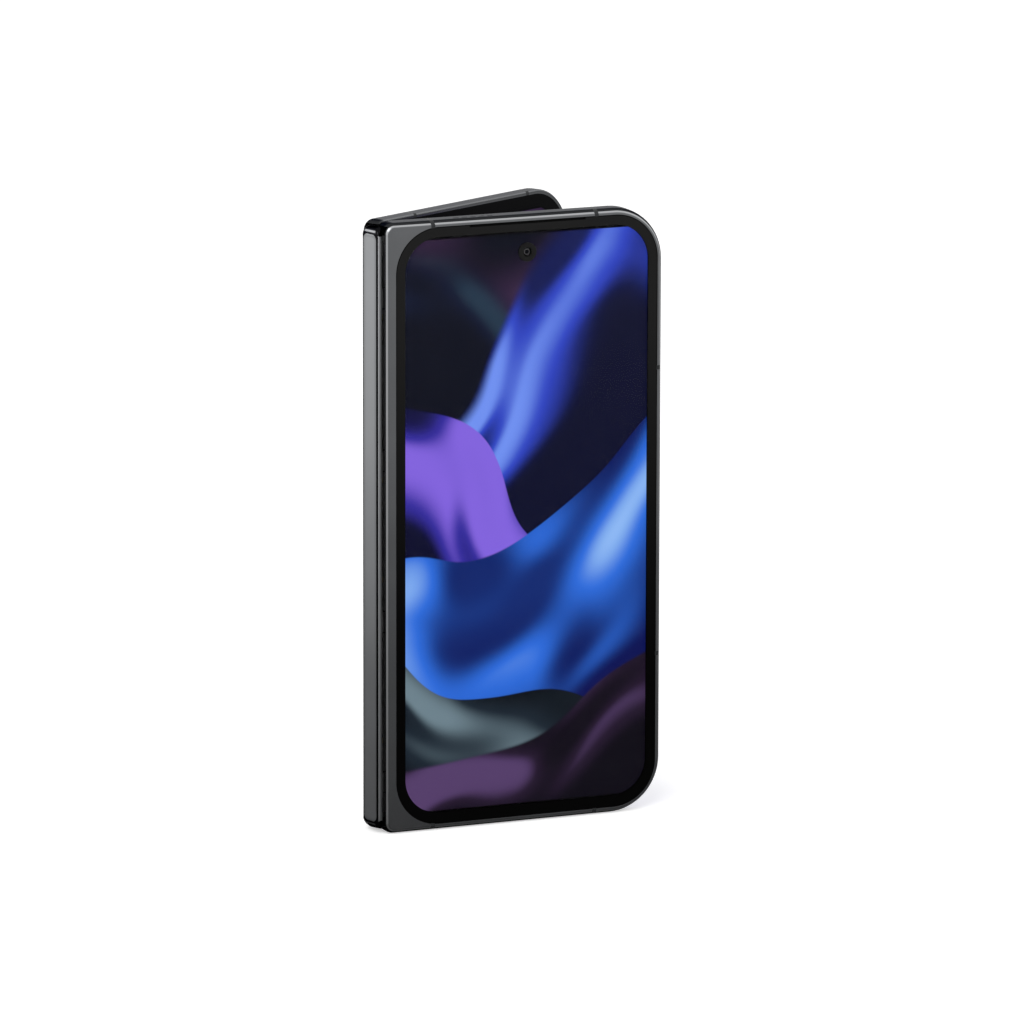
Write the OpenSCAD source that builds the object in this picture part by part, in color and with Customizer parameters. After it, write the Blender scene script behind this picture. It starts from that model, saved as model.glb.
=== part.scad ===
/* [Body] */
// Height of the phone, along the hinge
body_h = 155.2; // [150:0.2:165]
// Width of one half laid flat, from the hinge centre line to its free edge
half_w = 76; // [73:0.1:82]
// Thickness of one half
half_t = 5.1; // [5:0.1:5.8]
// Corner radius at the free edge
free_r = 13.5; // [8:0.5:16]
// Corner radius at the hinge edge
hinge_r = 2.8; // [2.7:0.1:3.4]
// Width of the rail that runs round each frame
rail_w = 2.6; // [2.4:0.05:2.65]
// Radius of the rail's curve towards the outer face
flank_r = 2.2; // [1.6:0.1:2.4]
// Bright chamfer round the outer face
chamfer = 0.5; // [0.3:0.05:0.6]
// Rounding of the rail at the inner face
inner_round = 0.55; // [0.4:0.05:0.7]
// Thickness of the frame's web between the display and the parts inside
web_t = 0.4; // [0.3:0.05:0.6]

/* [Fold] */
// Opening angle shown, 0 closed and 180 flat
open_angle = 27.5; // [0:2.5:180]
// Half of the gap between the closed halves
half_gap = 0.15; // [0.12:0.01:0.2]
// Depth of the two fold axes behind the inner face
pivot_depth = 0.8; // [0.75:0.05:0.85]
// Distance of each frame from the hinge centre line, laid flat
edge_gap = 0.25; // [0.2:0.05:0.5]
// Width of the folding zone on each side of the centre line
fold_w = 4; // [3.9:0.1:4.4]

/* [Spine] */
// Depth of the spine's outer face behind the inner face
spine_depth = 3.45; // [3.35:0.05:3.6]
// Half width of the spine's flat outer face
spine_flat = 2.8; // [2.7:0.05:2.9]
// Half width of the spine over its side walls
spine_side = 3.2; // [3.15:0.05:3.3]
// Height of the bevel between the spine's outer face and its sides
spine_bevel = 0.45; // [0.3:0.05:0.5]
// Wall thickness of the spine cover
spine_wall = 0.45; // [0.35:0.05:0.5]
// Depth at which the spine's side walls end
spine_lip = 1.9; // [1.88:0.01:2]
// Length of each end cap
cap_len = 2.35; // [2:0.05:3]
// Thickness of the frame's flange over the spine's ends
end_flange = 0.9; // [0.7:0.05:1]
// Gap between that flange and the spine's ends
end_gap = 0.15; // [0.1:0.05:0.3]

/* [Hinge sets] */
// Number of hinge sets along the spine
hinge_sets = 4; // [2:1:5]
// Distance of the first hinge set from the ends
hinge_margin = 9; // [6:1:14]
// Length of one hinge base
base_len = 14; // [13:0.5:18]
// Width of each arm, along the hinge
arm_len = 5; // [4:0.5:5.5]
// Inner radius of the arc shoe on each arm
shoe_in = 1.15; // [1.1:0.05:1.2]
// Outer radius of the arc shoe on each arm
shoe_out = 1.7; // [1.6:0.05:1.75]
// Running clearance of the arc shoes in their grooves
run_gap = 0.05; // [0.03:0.01:0.06]
// Tilt of the wing plates when closed
wing_tilt = 9; // [8:0.5:10]
// Thickness of the wing plates
wing_t = 0.3; // [0.25:0.05:0.35]
// Radius of the guide rods beside each hinge base
rod_r = 0.4; // [0.35:0.05:0.45]

/* [Displays] */
// Depth of the inner display below the inner face
panel_recess = 0.28; // [0.26:0.01:0.3]
// Thickness of the inner display
panel_t = 0.3; // [0.25:0.05:0.35]
// Thickness of the steel plate behind it
plate_t = 0.3; // [0.25:0.05:0.35]
// Width of the inner bezel, from the frame's outline to its window
bezel_in = 4.4; // [4:0.1:5]
// Thickness of the cover glass and of the rear glass
glass_t = 0.6; // [0.5:0.05:0.7]
// Distance of the cover glass from the frame's outline
glass_inset = 1.8; // [1.6:0.1:1.9]
// Extra distance of the cover glass on the hinge side
glass_hinge = 1.55; // [1.4:0.05:2]
// Corner radius of the cover glass
glass_r = 11.4; // [8:0.2:12]
// Thickness of the cover display panel
cover_t = 0.8; // [0.7:0.05:0.9]
// Width of the black border round the cover display
cover_border = 2.3; // [2:0.1:3]
// Corner radius of the cover display
cover_r = 8.8; // [6:0.2:10]
// Depth of the cover camera below the top edge
cover_cam_drop = 9.5; // [9:0.1:12]

/* [Camera island] */
// Width and height of the camera island
island_w = 38; // [34:1:42]
// Height of the island above the rear glass
island_rise = 1.5; // [1:0.1:2]
// Corner radius of the island
island_r = 9; // [6:0.5:12]
// Distance of the island from the frame's outline
island_inset = 4.5; // [4:0.5:8]
// Radius of each camera window
lens_r = 5.6; // [4.5:0.1:6.2]
// Half width of the main camera's body
main_body = 5.4; // [5:0.1:5.8]

/* [Controls] */
// Length of the power button
power_len = 12; // [9:0.5:14]
// Height of the power button's centre above the base
power_z = 101; // [98:1:108]
// Length of the volume rocker
volume_len = 22; // [18:1:26]
// Height of the volume rocker's centre above the base
volume_z = 76; // [74:1:80]
// Width of the buttons, across the frame
button_w = 1.7; // [1.4:0.1:1.9]
// How far the buttons stand out of the frame
button_out = 0.45; // [0.35:0.05:0.6]
// Travel of the power button
power_travel = 0.25; // [0.2:0.05:0.3]
// Width of the SIM tray
sim_w = 13; // [12:0.5:15]
// Length of the SIM tray
sim_len = 15; // [14:0.5:18]
// Width of the charging port
port_w = 8.9; // [8.9:0.05:9.1]
// Height of the charging port's opening
port_h = 3.1; // [3:0.05:3.2]

/* [Inside] */
// Gap around the battery and the boards
part_gap = 0.1; // [0.05:0.05:0.2]
// Thickness of the circuit boards
board_t = 0.6; // [0.5:0.05:0.8]
// Distance of the front battery from the top edge
front_batt_drop = 40.2; // [36:0.2:60]
// Gap between the rear battery and the camera island
rear_batt_gap = 5.7; // [5:0.1:20]
// Radius of the screws' threads
screw_r = 0.5; // [0.4:0.05:0.6]

/* [Hidden] */
$fn = 48;
eps = 0.01;

// One half is drawn closed: x runs from the hinge to the free edge, s is the distance from
// the plane between the halves, z runs up from the base. The hinge centre line is at x = 0.
pivot_s = half_gap + pivot_depth;
pivot_x = -pivot_depth;
fold_shift = pivot_depth + pivot_s;
x_edge = edge_gap - fold_shift;
x_free = half_w - fold_shift;
s_in = half_gap;
s_out = half_gap + half_t;
half_angle = open_angle / 2;
mid_x = (x_edge + x_free) / 2;
mid_s = (s_in + s_out) / 2;

// Layers under the inner face
panel_s = s_in + panel_recess;
plate_s = panel_s + panel_t;
web_s = plate_s + plate_t;
seat_s = web_s + web_t;
bezel_t = panel_recess - 0.03;
inner_x = x_free - rail_w - 0.05;

// Hinge cavity of each half
pocket_r = s_out - 0.75 - pivot_s;
floor_s = 2.75;
floor_t = 0.5;
wing_pivot_x = 6.5;
wing_pivot_s = web_s + 0.07;
wing_rod_r = 0.3;
wing_s = plate_s + 0.04;
wing_x = -0.6;
web_x = wing_pivot_x + 0.5;
foot_x0 = 2.5;
foot_x1 = 5.9;
foot_t = 0.6;

// Glass and displays on the outer side
glass_x0 = x_edge + glass_inset + glass_hinge;
glass_x1 = x_free - glass_inset;
glass_s = s_out - glass_t;
fit_gap = 0.05;
cover_s = glass_s - 0.02 - cover_t;
border_w = cover_border - 0.6;
beam_x = glass_x0 + border_w - 0.25;
cover_cam_x = (glass_x0 + glass_x1) / 2;
cover_cam_z = body_h - cover_cam_drop;
cover_cam_r = 2.35;

// Places along the spine
spine_z0 = end_flange + end_gap;
base_pitch = (body_h - 2 * hinge_margin - base_len) / (hinge_sets - 1);
arm_edge = (base_len - 2 * arm_len) / 3;
base_half = spine_side - spine_wall - 0.15;
base_top = -(web_s - half_gap + wing_t + 0.06);
rod_y = 1.5;
rod_x = -spine_depth + spine_wall + 0.85;
rod_len = 9;

// Camera island and lenses
island_x1 = x_free - island_inset;
island_x0 = island_x1 - island_w;
island_z1 = body_h - island_inset;
island_z0 = island_z1 - island_w;
lens_pitch = island_w / 2 - 1.5;
lens_at = [
  [island_x0 + lens_r + 3.6, island_z1 - lens_r - 3.6],
  [island_x0 + lens_r + 3.6, island_z0 + lens_r + 3.6],
  [island_x1 - lens_r - 3.6, (island_z0 + island_z1) / 2]
];
flash_at = [island_x1 - 6, island_z1 - 5.2];
flash_r = 2.2;

// Bottom edge of the rear half
port_x = mid_x;
port_s = (seat_s + glass_s) / 2;
slot_r = 0.55;

// SIM tray, batteries and boards
sim_x = 14;
sim_t = 1.5;
sim_s = seat_s + 0.35;
batt_x0 = web_x + 4;
batt_z0 = 37;
rear_batt_z1 = island_z0 - rear_batt_gap;
coil_z = (batt_z0 + rear_batt_z1) / 2;
board_s = seat_s + 0.55;
board_z0 = rear_batt_z1 + 3.2;
board_z1 = body_h - rail_w - 0.6;
inner_cam_x = batt_x0 + 13;
inner_cam_z = body_h - 7.5;
motor_x1 = x_free - rail_w - 4.75;
front_boss = [[sim_x + sim_w + 6, 10], [batt_x0, batt_z0 - 7], [motor_x1, batt_z0 - 7]];
rear_boss = [[batt_x0, board_z0 + 2], [batt_x0, board_z1 - 4], [inner_cam_x + 4.6, board_z1 - 4]];

function arc(cx, cy, r, a0, a1, steps) =
  [for (i = [0:steps]) let (a = a0 + (a1 - a0) * i / steps) [cx + r * cos(a), cy + r * sin(a)]];

// Section of the rail: first value inwards from the outline, second value s
flank_n = flank_r * (1 - cos(45));
rail_points = concat(
  arc(inner_round, s_in + inner_round, inner_round, 270, 180, 4),
  arc(flank_r, s_out - chamfer - flank_r * sin(45), flank_r, 180, 135, 4),
  [[flank_n + chamfer, s_out], [rail_w, s_out], [rail_w, s_in]]
);

// A point of the folding display: u from the centre line, depth below the inner face
function ease(t) = t * t * (3 - 2 * t);
function fold_point(u, depth) =
  let (turn = (90 - half_angle) * ease(min(1, u / fold_w)),
       dx = pivot_depth - depth,
       dy = u - pivot_s)
  [pivot_x + dx * cos(turn) + dy * sin(turn), pivot_s - dx * sin(turn) + dy * cos(turn)];

// ---------- placing ----------

module in_row() { translate([-mid_x, mid_s, 0]) children(); }
module about(x, y, a) { translate([x, y, 0]) rotate([0, 0, a]) translate([-x, -y, 0]) children(); }
module on_front() { in_row() mirror([0, 1, 0]) children(); }
module on_spine() { in_row() about(pivot_x, -pivot_s, half_angle) children(); }
module on_rear() { on_spine() about(pivot_x, pivot_s, half_angle) children(); }

// ---------- building blocks ----------

// Extrudes a drawing of x and z through s0 to s1
module slab(s0, s1) { translate([0, s1, 0]) rotate([90, 0, 0]) linear_extrude(s1 - s0) children(); }
// Extrudes a drawing of x and s through z0 to z1
module prism(z0, z1) { translate([0, 0, z0]) linear_extrude(z1 - z0) children(); }
module box(x0, x1, s0, s1, z0, z1) { translate([x0, s0, z0]) cube([x1 - x0, s1 - s0, z1 - z0]); }
// A cylinder along s
module stud(x, z, r, s0, s1) { translate([x, s1, z]) rotate([90, 0, 0]) cylinder(r = r, h = s1 - s0); }

module round_rect(x0, x1, z0, z1, r) {
  translate([x0 + r, z0]) square([x1 - x0 - 2 * r, z1 - z0]);
  translate([x0, z0 + r]) square([x1 - x0, z1 - z0 - 2 * r]);
  for (x = [x0 + r, x1 - r], z = [z0 + r, z1 - r]) translate([x, z]) circle(r);
}

// A slot with round ends, drawn about its centre
module stadium(x, y, w, h) {
  translate([x - (w - h) / 2, y - h / 2]) square([w - h, h]);
  for (side = [-1, 1]) translate([x + side * (w - h) / 2, y]) circle(h / 2);
}

// Outline of one half, drawn in by a distance
module outline(inset) {
  rf = free_r - inset;
  rh = max(hinge_r - inset, 0.2);
  x0 = x_edge + inset;
  x1 = x_free - inset;
  z1 = body_h - inset;
  translate([x0 + rh, inset]) square([x1 - rf - x0 - rh, z1 - inset]);
  translate([x0, inset + rh]) square([x1 - x0 - rf, z1 - inset - 2 * rh]);
  translate([x0 + rh, inset + rf]) square([x1 - x0 - rh, z1 - inset - 2 * rf]);
  for (z = [inset + rh, z1 - rh]) translate([x0 + rh, z]) circle(rh);
  for (z = [inset + rf, z1 - rf]) translate([x1 - rf, z]) circle(rf);
}

module rail_corner(x, z, r, turn) {
  translate([x, 0, z]) rotate([0, turn, 0]) rotate([-90, 0, 0])
    rotate_extrude(angle = 90) polygon([for (p = rail_points) [r - p[0], p[1]]]);
}

// The rail, swept round the half's outline
module rail_ring() {
  run = x_free - free_r - x_edge - hinge_r;
  translate([x_edge + hinge_r, 0, body_h]) rotate([0, 90, 0]) linear_extrude(run) polygon(rail_points);
  translate([x_free - free_r, 0, 0]) rotate([0, -90, 0]) linear_extrude(run) polygon(rail_points);
  translate([x_free, 0, body_h - free_r]) rotate([0, 180, 0])
    linear_extrude(body_h - 2 * free_r) polygon(rail_points);
  translate([x_edge, 0, hinge_r]) linear_extrude(body_h - 2 * hinge_r) polygon(rail_points);
  rail_corner(x_free - free_r, free_r, free_r, 0);
  rail_corner(x_free - free_r, body_h - free_r, free_r, -90);
  rail_corner(x_edge + hinge_r, hinge_r, hinge_r, 90);
  rail_corner(x_edge + hinge_r, body_h - hinge_r, hinge_r, 180);
}

// Places of the antenna bands: on the top and bottom rails along x, on the free rail along z
band_w = 1.1;
band_x = [x_edge + 12.6, x_free - free_r - 5.4];
band_z = [free_r + 26.4, body_h - free_r - 28.3];
rear_shift = 1.9;

// Cuts across the rail where the antenna bands go, smaller by a clearance for the bands
module band_cuts(gap, shift) {
  depth = rail_w - 0.6;
  for (x = [band_x[0] + shift, band_x[1] + shift], top = [0, 1])
    box(x + gap, x + band_w - gap, s_in - 1, s_out + 1,
        top * (body_h - depth) - (1 - top) + gap * top, depth + top * (body_h - depth + 1) - gap * (1 - top));
  for (z = band_z)
    box(x_free - depth + gap, x_free + 1, s_in - 1, s_out + 1, z + gap, z + band_w - gap);
}

// The hinge side of a frame: outer skin, beam, floor of the wing recess and the wing's seat
module hinge_side() {
  prism(rail_w - 0.2, body_h - rail_w + 0.2) polygon([
    [x_edge + rail_w - 0.2, floor_s], [foot_x1 + 0.15, floor_s],
    [foot_x1 + 0.15, wing_pivot_s + 0.35], [wing_pivot_x, wing_pivot_s],
    [web_x, web_s], [web_x + 0.7, web_s], [web_x + 0.7, floor_s + floor_t],
    [beam_x, floor_s + floor_t], [beam_x, glass_s], [x_edge + rail_w - 0.2, glass_s]
  ]);
}

// Face round the outer glass, with the ledge that the glass lies on
module glass_ledge() {
  slab(glass_s - ledge_t, s_out) difference() {
    outline(rail_w - 0.2);
    round_rect(glass_x0 + ledge_w, glass_x1 - ledge_w, glass_inset + ledge_w,
      body_h - glass_inset - ledge_w, glass_r - ledge_w);
  }
}
ledge_t = 0.45;
ledge_w = 0.8;

module frame_blank() {
  rail_ring();
  glass_ledge();
  slab(web_s, seat_s) intersection() {
    outline(rail_w - 0.2);
    translate([web_x, 0]) square([half_w, body_h]);
  }
  hinge_side();
}

module frame_cuts() {
  // room for the spine
  translate([pivot_x, pivot_s, end_flange]) cylinder(r = pocket_r, h = body_h - 2 * end_flange);
  // seat of the wing plate's rod
  translate([wing_pivot_x, wing_pivot_s, wing_z0 - 0.3])
    cylinder(r = wing_rod_r + run_gap, h = wing_z1 - wing_z0 + 0.6);
  // seat of the outer glass
  slab(glass_s, s_out + 1) round_rect(glass_x0 - fit_gap, glass_x1 + fit_gap,
    glass_inset - fit_gap, body_h - glass_inset + fit_gap, glass_r + fit_gap);
  // seat of the inner bezel
  slab(s_in - 1, s_in + bezel_t) {
    outline(bezel_edge);
    translate([x_edge + bezel_edge / 3, bezel_edge]) square([6, body_h - 2 * bezel_edge]);
  }
}

bezel_edge = 1.05;
wing_z0 = 5.2;
wing_z1 = body_h - wing_z0;

// ---------- parts that both halves have ----------

module inner_bezel() {
  gap = 0.04;
  difference() {
    slab(s_in + 0.02, s_in + bezel_t - eps) difference() {
      union() {
        intersection() {
          outline(bezel_edge + gap);
          translate([fold_w - fold_shift, 0]) square([half_w, body_h]);
        }
        for (z = [bezel_edge + gap, body_h - bezel_z])
          translate([x_edge + 0.35, z]) square([fold_w - fold_shift - x_edge, bezel_z - bezel_edge - gap]);
      }
      round_rect(-20, x_free - bezel_in, bezel_in, body_h - bezel_in, inner_r);
    }
  }
  // raised rim line round the window
  slab(s_in - 0.06, s_in + 0.05) difference() {
    round_rect(-20, x_free - bezel_in + 0.55, bezel_in - 0.55, body_h - bezel_in + 0.55, inner_r + 0.55);
    round_rect(-21, x_free - bezel_in + 0.15, bezel_in - 0.15, body_h - bezel_in + 0.15, inner_r + 0.15);
    translate([-30, 0]) square([30 + fold_w - fold_shift + 0.5, body_h]);
  }
}
bezel_z = 3.5;
inner_r = free_r - 4;
display_z0 = bezel_z + 0.1;

module inner_panel() {
  slab(panel_s, plate_s - eps) intersection() {
    outline(rail_w + 0.1);
    translate([fold_w - fold_shift, display_z0]) square([half_w, body_h - 2 * display_z0]);
  }
}

module display_plate() {
  slab(plate_s, web_s) intersection() {
    outline(rail_w + 0.2);
    translate([web_x + 0.1, display_z0]) square([half_w, body_h - 2 * display_z0]);
  }
}

// Section of an arm: arc shoe round the fold axis, leaf over the spine's wall, and foot
module arm_section() {
  difference() {
    translate([pivot_x, pivot_s]) circle(shoe_out);
    translate([pivot_x, pivot_s]) circle(shoe_in);
    translate([pivot_x, pivot_s]) polygon([
      [0, 0], 4 * [cos(38), sin(38)], [4, 0], [4, -4], [-4, -4], 4 * [cos(170), sin(170)]
    ]);
  }
  polygon([
    [pivot_x + shoe_in * cos(46), pivot_s + shoe_in * sin(46)],
    [pivot_x + 1.62 * cos(38), pivot_s + 1.62 * sin(38) - 0.3],
    [1.0, 1.47], [1.75, 1.38], [2.6, floor_s - foot_t], [foot_x1, floor_s - foot_t],
    [foot_x1, floor_s], [foot_x0, floor_s], [1.62, spine_lip + half_gap - 0.18],
    [0.75, spine_lip + half_gap - 0.18], [pivot_x + 1.66 * cos(52), pivot_s + 1.66 * sin(52)]
  ]);
}

// z of an arm's lower end: side 0 for the front half, 1 for the rear half
function arm_z(set, side) =
  hinge_margin + set * base_pitch + arm_edge + side * (arm_len + arm_edge);

module hinge_arms(side) {
  for (i = [0:hinge_sets - 1]) {
    z = arm_z(i, side);
    difference() {
      union() {
        prism(z, z + arm_len) arm_section();
        box(foot_x0 + 0.3, foot_x1, floor_s - foot_t, floor_s, z - 2.2, z + arm_len + 2.2);
      }
      for (dz = [-1.1, arm_len + 1.1]) stud((foot_x0 + foot_x1) / 2 + 0.3, z + dz, screw_r + 0.1, 0, 6);
    }
  }
}

// Screws that hold the arms' feet on the frame
module foot_screws(side) {
  for (i = [0:hinge_sets - 1], dz = [-1.1, arm_len + 1.1]) {
    z = arm_z(i, side) + dz;
    x = (foot_x0 + foot_x1) / 2 + 0.3;
    stud(x, z, screw_r, floor_s - foot_t, floor_s + 0.4);
    stud(x, z, screw_r * 1.8, floor_s - foot_t - 0.3, floor_s - foot_t);
  }
}
module foot_holes(side) {
  for (i = [0:hinge_sets - 1], dz = [-1.1, arm_len + 1.1])
    stud((foot_x0 + foot_x1) / 2 + 0.3, arm_z(i, side) + dz, screw_r, floor_s - 0.1, floor_s + 0.4);
}

// Wing plate: supports the display when open, tilts away when it folds
module wing_plate(side) {
  tilt = wing_tilt * (1 - open_angle / 180);
  about(wing_pivot_x, wing_pivot_s, -tilt) {
    translate([wing_pivot_x, wing_pivot_s, wing_z0]) cylinder(r = wing_rod_r, h = wing_z1 - wing_z0);
    difference() {
      box(wing_x, wing_pivot_x, wing_s, wing_s + wing_t, wing_z0, wing_z1);
      for (i = [0:hinge_sets - 1])
        box(wing_x - 1, 2.7, wing_s - 1, wing_s + 2, arm_z(i, side) - 0.4, arm_z(i, side) + arm_len + 0.4);
    }
  }
}

// ---------- front half ----------

module sim_face(gap) {
  round_rect(sim_x - gap, sim_x + sim_w + gap, sim_s - gap, sim_s + sim_t + gap, 0.4 + gap);
}
speaker_x = 18.6;
speaker_pitch = 2.3;
slot_len = 1.6;

module front_frame() {
  color([0.25, 0.26, 0.27]) difference() {
    frame_blank();
    frame_cuts();
    band_cuts(0, 0);
    prism(-1, rail_w + 1) sim_face(0.08);
    // speaker slots in the top edge
    for (i = [0:4]) prism(body_h - rail_w - 1, body_h + 1)
      stadium(speaker_x + i * speaker_pitch, port_s, slot_len, 0.6);
    foot_holes(0);
    for (p = front_boss) stud(p[0], p[1], screw_r, seat_s - 0.2, seat_s + 3);
  }
  color([0.25, 0.26, 0.27]) for (p = front_boss) boss(p, board_s);
}
module boss(p, top) {
  difference() {
    stud(p[0], p[1], 1.2, seat_s - 0.1, top);
    stud(p[0], p[1], screw_r, seat_s - 0.05, top + 1);
  }
}

module bands(shift) {
  difference() {
    intersection() {
      rail_ring();
      band_cuts(0.02, shift);
    }
    frame_cuts();
  }
}
module front_antenna_bands() { color([0.14, 0.14, 0.15]) bands(0); }

module cover_glass() {
  color([0.02, 0.02, 0.025]) difference() {
    slab(glass_s, s_out) round_rect(glass_x0, glass_x1, glass_inset, body_h - glass_inset, glass_r);
    // earpiece slot cut in the glass's top edge
    slab(glass_s - 1, s_out + 1) translate([cover_cam_x - ear_w / 2, body_h - glass_inset - ear_h])
      square([ear_w, ear_h + 1]);
  }
}
ear_w = 31.4;
ear_h = 0.45;

module cover_display() {
  color([0.1, 0.2, 0.6]) difference() {
    slab(cover_s, cover_s + cover_t) round_rect(glass_x0 + border_w, glass_x1 - border_w,
      glass_inset + border_w, body_h - glass_inset - border_w, cover_r + 0.6);
    stud(cover_cam_x, cover_cam_z, cover_cam_r + 0.1, cover_s - 1, cover_s + 2);
  }
}

module cover_camera() {
  color([0.03, 0.03, 0.04]) {
    stud(cover_cam_x, cover_cam_z, cover_cam_r, seat_s + 0.05, glass_s - 0.05);
    box(cover_cam_x - 3.2, cover_cam_x + 3.2, seat_s, cover_s - 0.1, cover_cam_z - 3.2, cover_cam_z + 3.2);
  }
}

module earpiece_mesh() {
  w = ear_w - 0.2;
  color([0.1, 0.1, 0.11]) difference() {
    box(cover_cam_x - w / 2, cover_cam_x + w / 2, glass_s, s_out - 0.15,
        body_h - glass_inset - ear_h + 0.05, body_h - glass_inset);
    for (i = [0:22]) box(cover_cam_x - w / 2 + 0.5 + i * (w - 1) / 22 - 0.3,
        cover_cam_x - w / 2 + 0.5 + i * (w - 1) / 22 + 0.3, glass_s + 0.2, s_out,
        body_h - glass_inset - ear_h + 0.15, body_h - glass_inset - 0.1);
  }
}

module front_inner_bezel() { color([0.03, 0.03, 0.03]) inner_bezel(); }
module front_inner_panel() { color([0.1, 0.12, 0.4]) inner_panel(); }
module front_display_plate() { color([0.6, 0.6, 0.6]) display_plate(); }

module battery(z1, s1) {
  slab(seat_s + part_gap, s1) round_rect(batt_x0, x_free - rail_w - 3, batt_z0, z1, 1.5);
  // folded edge with the connector tab
  box(batt_x0 + 8, batt_x0 + 20, seat_s, seat_s + 0.8, z1 - 2, z1 + 2.5);
}
module front_battery() { color([0.12, 0.12, 0.13]) battery(body_h - front_batt_drop, cover_s - 0.15); }

module front_board() {
  top = batt_z0 - 3;
  color([0.05, 0.2, 0.12]) difference() {
    slab(board_s, board_s + board_t) difference() {
      round_rect(batt_x0 - 2.2, x_free - rail_w - 4, rail_w + 3.5, top, 1);
      translate([sim_x - 6, 0]) square([sim_w + 8, sim_len + 3.2]);
    }
    for (p = front_boss) stud(p[0], p[1], screw_r + 0.15, 0, 6);
  }
  color([0.5, 0.5, 0.52]) {
    box(sim_x + sim_w + 9, sim_x + sim_w + 23, board_s + board_t, cover_s - 0.2, 10, top - 10);
    box(sim_x + 3, sim_x + sim_w + 1, board_s + board_t, cover_s - 0.3, sim_len + 6, top - 3);
  }
}

module front_speaker() {
  color([0.08, 0.08, 0.09]) slab(seat_s, cover_s - 0.15)
    round_rect(batt_x0 - 2, cover_cam_x - 5.6, body_h - rail_w - 18, body_h - rail_w - 0.1, 1.2);
}

module vibration_motor() {
  color([0.6, 0.6, 0.62]) slab(seat_s, cover_s - 0.2)
    round_rect(motor_x1 - 20, motor_x1, body_h - rail_w - 20, body_h - rail_w - 13, 1);
}

module half_magnets() {
  for (z = [batt_z0 + 5, body_h - 41.2])
    slab(seat_s, seat_s + 1.6) round_rect(inner_x - 2.3, inner_x - 0.2, z, z + 16, 0.3);
}
module front_magnets() { color([0.7, 0.7, 0.72]) half_magnets(); }

module board_screw(p, top) {
  stud(p[0], p[1], screw_r - 0.02, seat_s + 0.05, top);
  stud(p[0], p[1], screw_r * 1.9, top, top + 0.4);
}
module front_screws() {
  color([0.5, 0.5, 0.5]) {
    for (p = front_boss) board_screw(p, board_s + board_t);
    foot_screws(0);
  }
}

module sim_tray() {
  color([0.25, 0.26, 0.27]) difference() {
    union() {
      prism(0.05, rail_w) sim_face(0);
      box(sim_x + 0.5, sim_x + sim_w - 0.5, sim_s + 0.2, sim_s + sim_t - 0.3, 2, sim_len);
    }
    box(sim_x + 1.4, sim_x + sim_w - 1.4, sim_s + 0.5, sim_s + 3, 3.4, sim_len - 0.8);
    translate([sim_x + sim_w - 1.7, sim_s + sim_t / 2, -1]) cylinder(r = 0.4, h = rail_w + 0.4);
  }
}

// Cage that the tray slides into, open towards the base
module sim_reader() {
  color([0.7, 0.7, 0.72]) difference() {
    box(sim_x - 0.6, sim_x + sim_w + 0.6, seat_s, sim_s + sim_t + 0.2, rail_w + 0.1, sim_len + 2);
    box(sim_x + 0.3, sim_x + sim_w - 0.3, seat_s + 0.15, sim_s + sim_t, 0, sim_len + 1);
  }
}

module front_hinge_arms() { color([0.55, 0.55, 0.57]) hinge_arms(0); }
module front_wing_plate() { color([0.5, 0.5, 0.52]) wing_plate(0); }

// ---------- spine ----------

module spine_outer() {
  polygon([
    [-spine_lip, spine_side], [-spine_depth + spine_bevel, spine_side], [-spine_depth, spine_flat],
    [-spine_depth, -spine_flat], [-spine_depth + spine_bevel, -spine_side], [-spine_lip, -spine_side]
  ]);
}
cap_z = spine_z0 + cap_len;
cap_top = 1.25;

module spine_cover() {
  color([0.3, 0.31, 0.32]) prism(cap_z, body_h - cap_z) difference() {
    spine_outer();
    translate([-spine_depth + spine_wall, spine_wall - spine_side])
      square([spine_depth, 2 * (spine_side - spine_wall)]);
  }
}

// Solid end caps, rounded towards the outer corner, with a tongue into the cover
module spine_end_caps() {
  r = 1.5;
  color([0.08, 0.08, 0.09]) {
    intersection() {
      union() {
        prism(spine_z0, cap_z) spine_outer();
        prism(body_h - cap_z, body_h - spine_z0) spine_outer();
      }
      translate([0, spine_side + 1, 0]) rotate([90, 0, 0]) linear_extrude(2 * spine_side + 2)
        round_rect(-spine_depth, 4, spine_z0, body_h - spine_z0, r);
    }
    for (z = [cap_z - 0.5, body_h - cap_z - 1.5])
      box(-spine_depth + spine_wall + 0.02, -spine_lip - 0.2, -base_half, base_half, z, z + 2);
    for (z = [spine_z0 + 0.05, body_h - cap_z])
      box(-spine_lip - 0.1, -cap_top, -1.6, 1.6, z, z + cap_len - 0.05);
  }
}

// Arc groove for an arm's shoe, with room for its leaf beside it when the phone is open
module groove(side, z) {
  mirror([0, 1 - side, 0]) translate([0, 0, z - 0.1]) {
    translate([pivot_x, pivot_s, 0]) difference() {
      cylinder(r = shoe_out + run_gap, h = arm_len + 0.2);
      translate([0, 0, -1]) cylinder(r = shoe_in - run_gap, h = arm_len + 2.2);
    }
    translate([0.1 - spine_lip, pivot_s + 1.3, 0]) cube([spine_lip, 2, arm_len + 0.2]);
  }
}

module hinge_bases() {
  color([0.45, 0.45, 0.47]) for (i = [0:hinge_sets - 1]) {
    z = hinge_margin + i * base_pitch;
    difference() {
      box(-spine_depth + spine_wall, base_top, -base_half, base_half, z, z + base_len);
      for (side = [0, 1]) groove(side, arm_z(i, side));
    }
  }
}

// The end of each hinge base that faces the middle of the spine
module at_sets() {
  for (i = [0:hinge_sets - 1]) {
    z = hinge_margin + i * base_pitch;
    if (i < hinge_sets / 2) translate([0, 0, z + base_len]) children();
    else translate([0, 0, z]) mirror([0, 0, 1]) children();
  }
}

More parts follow.
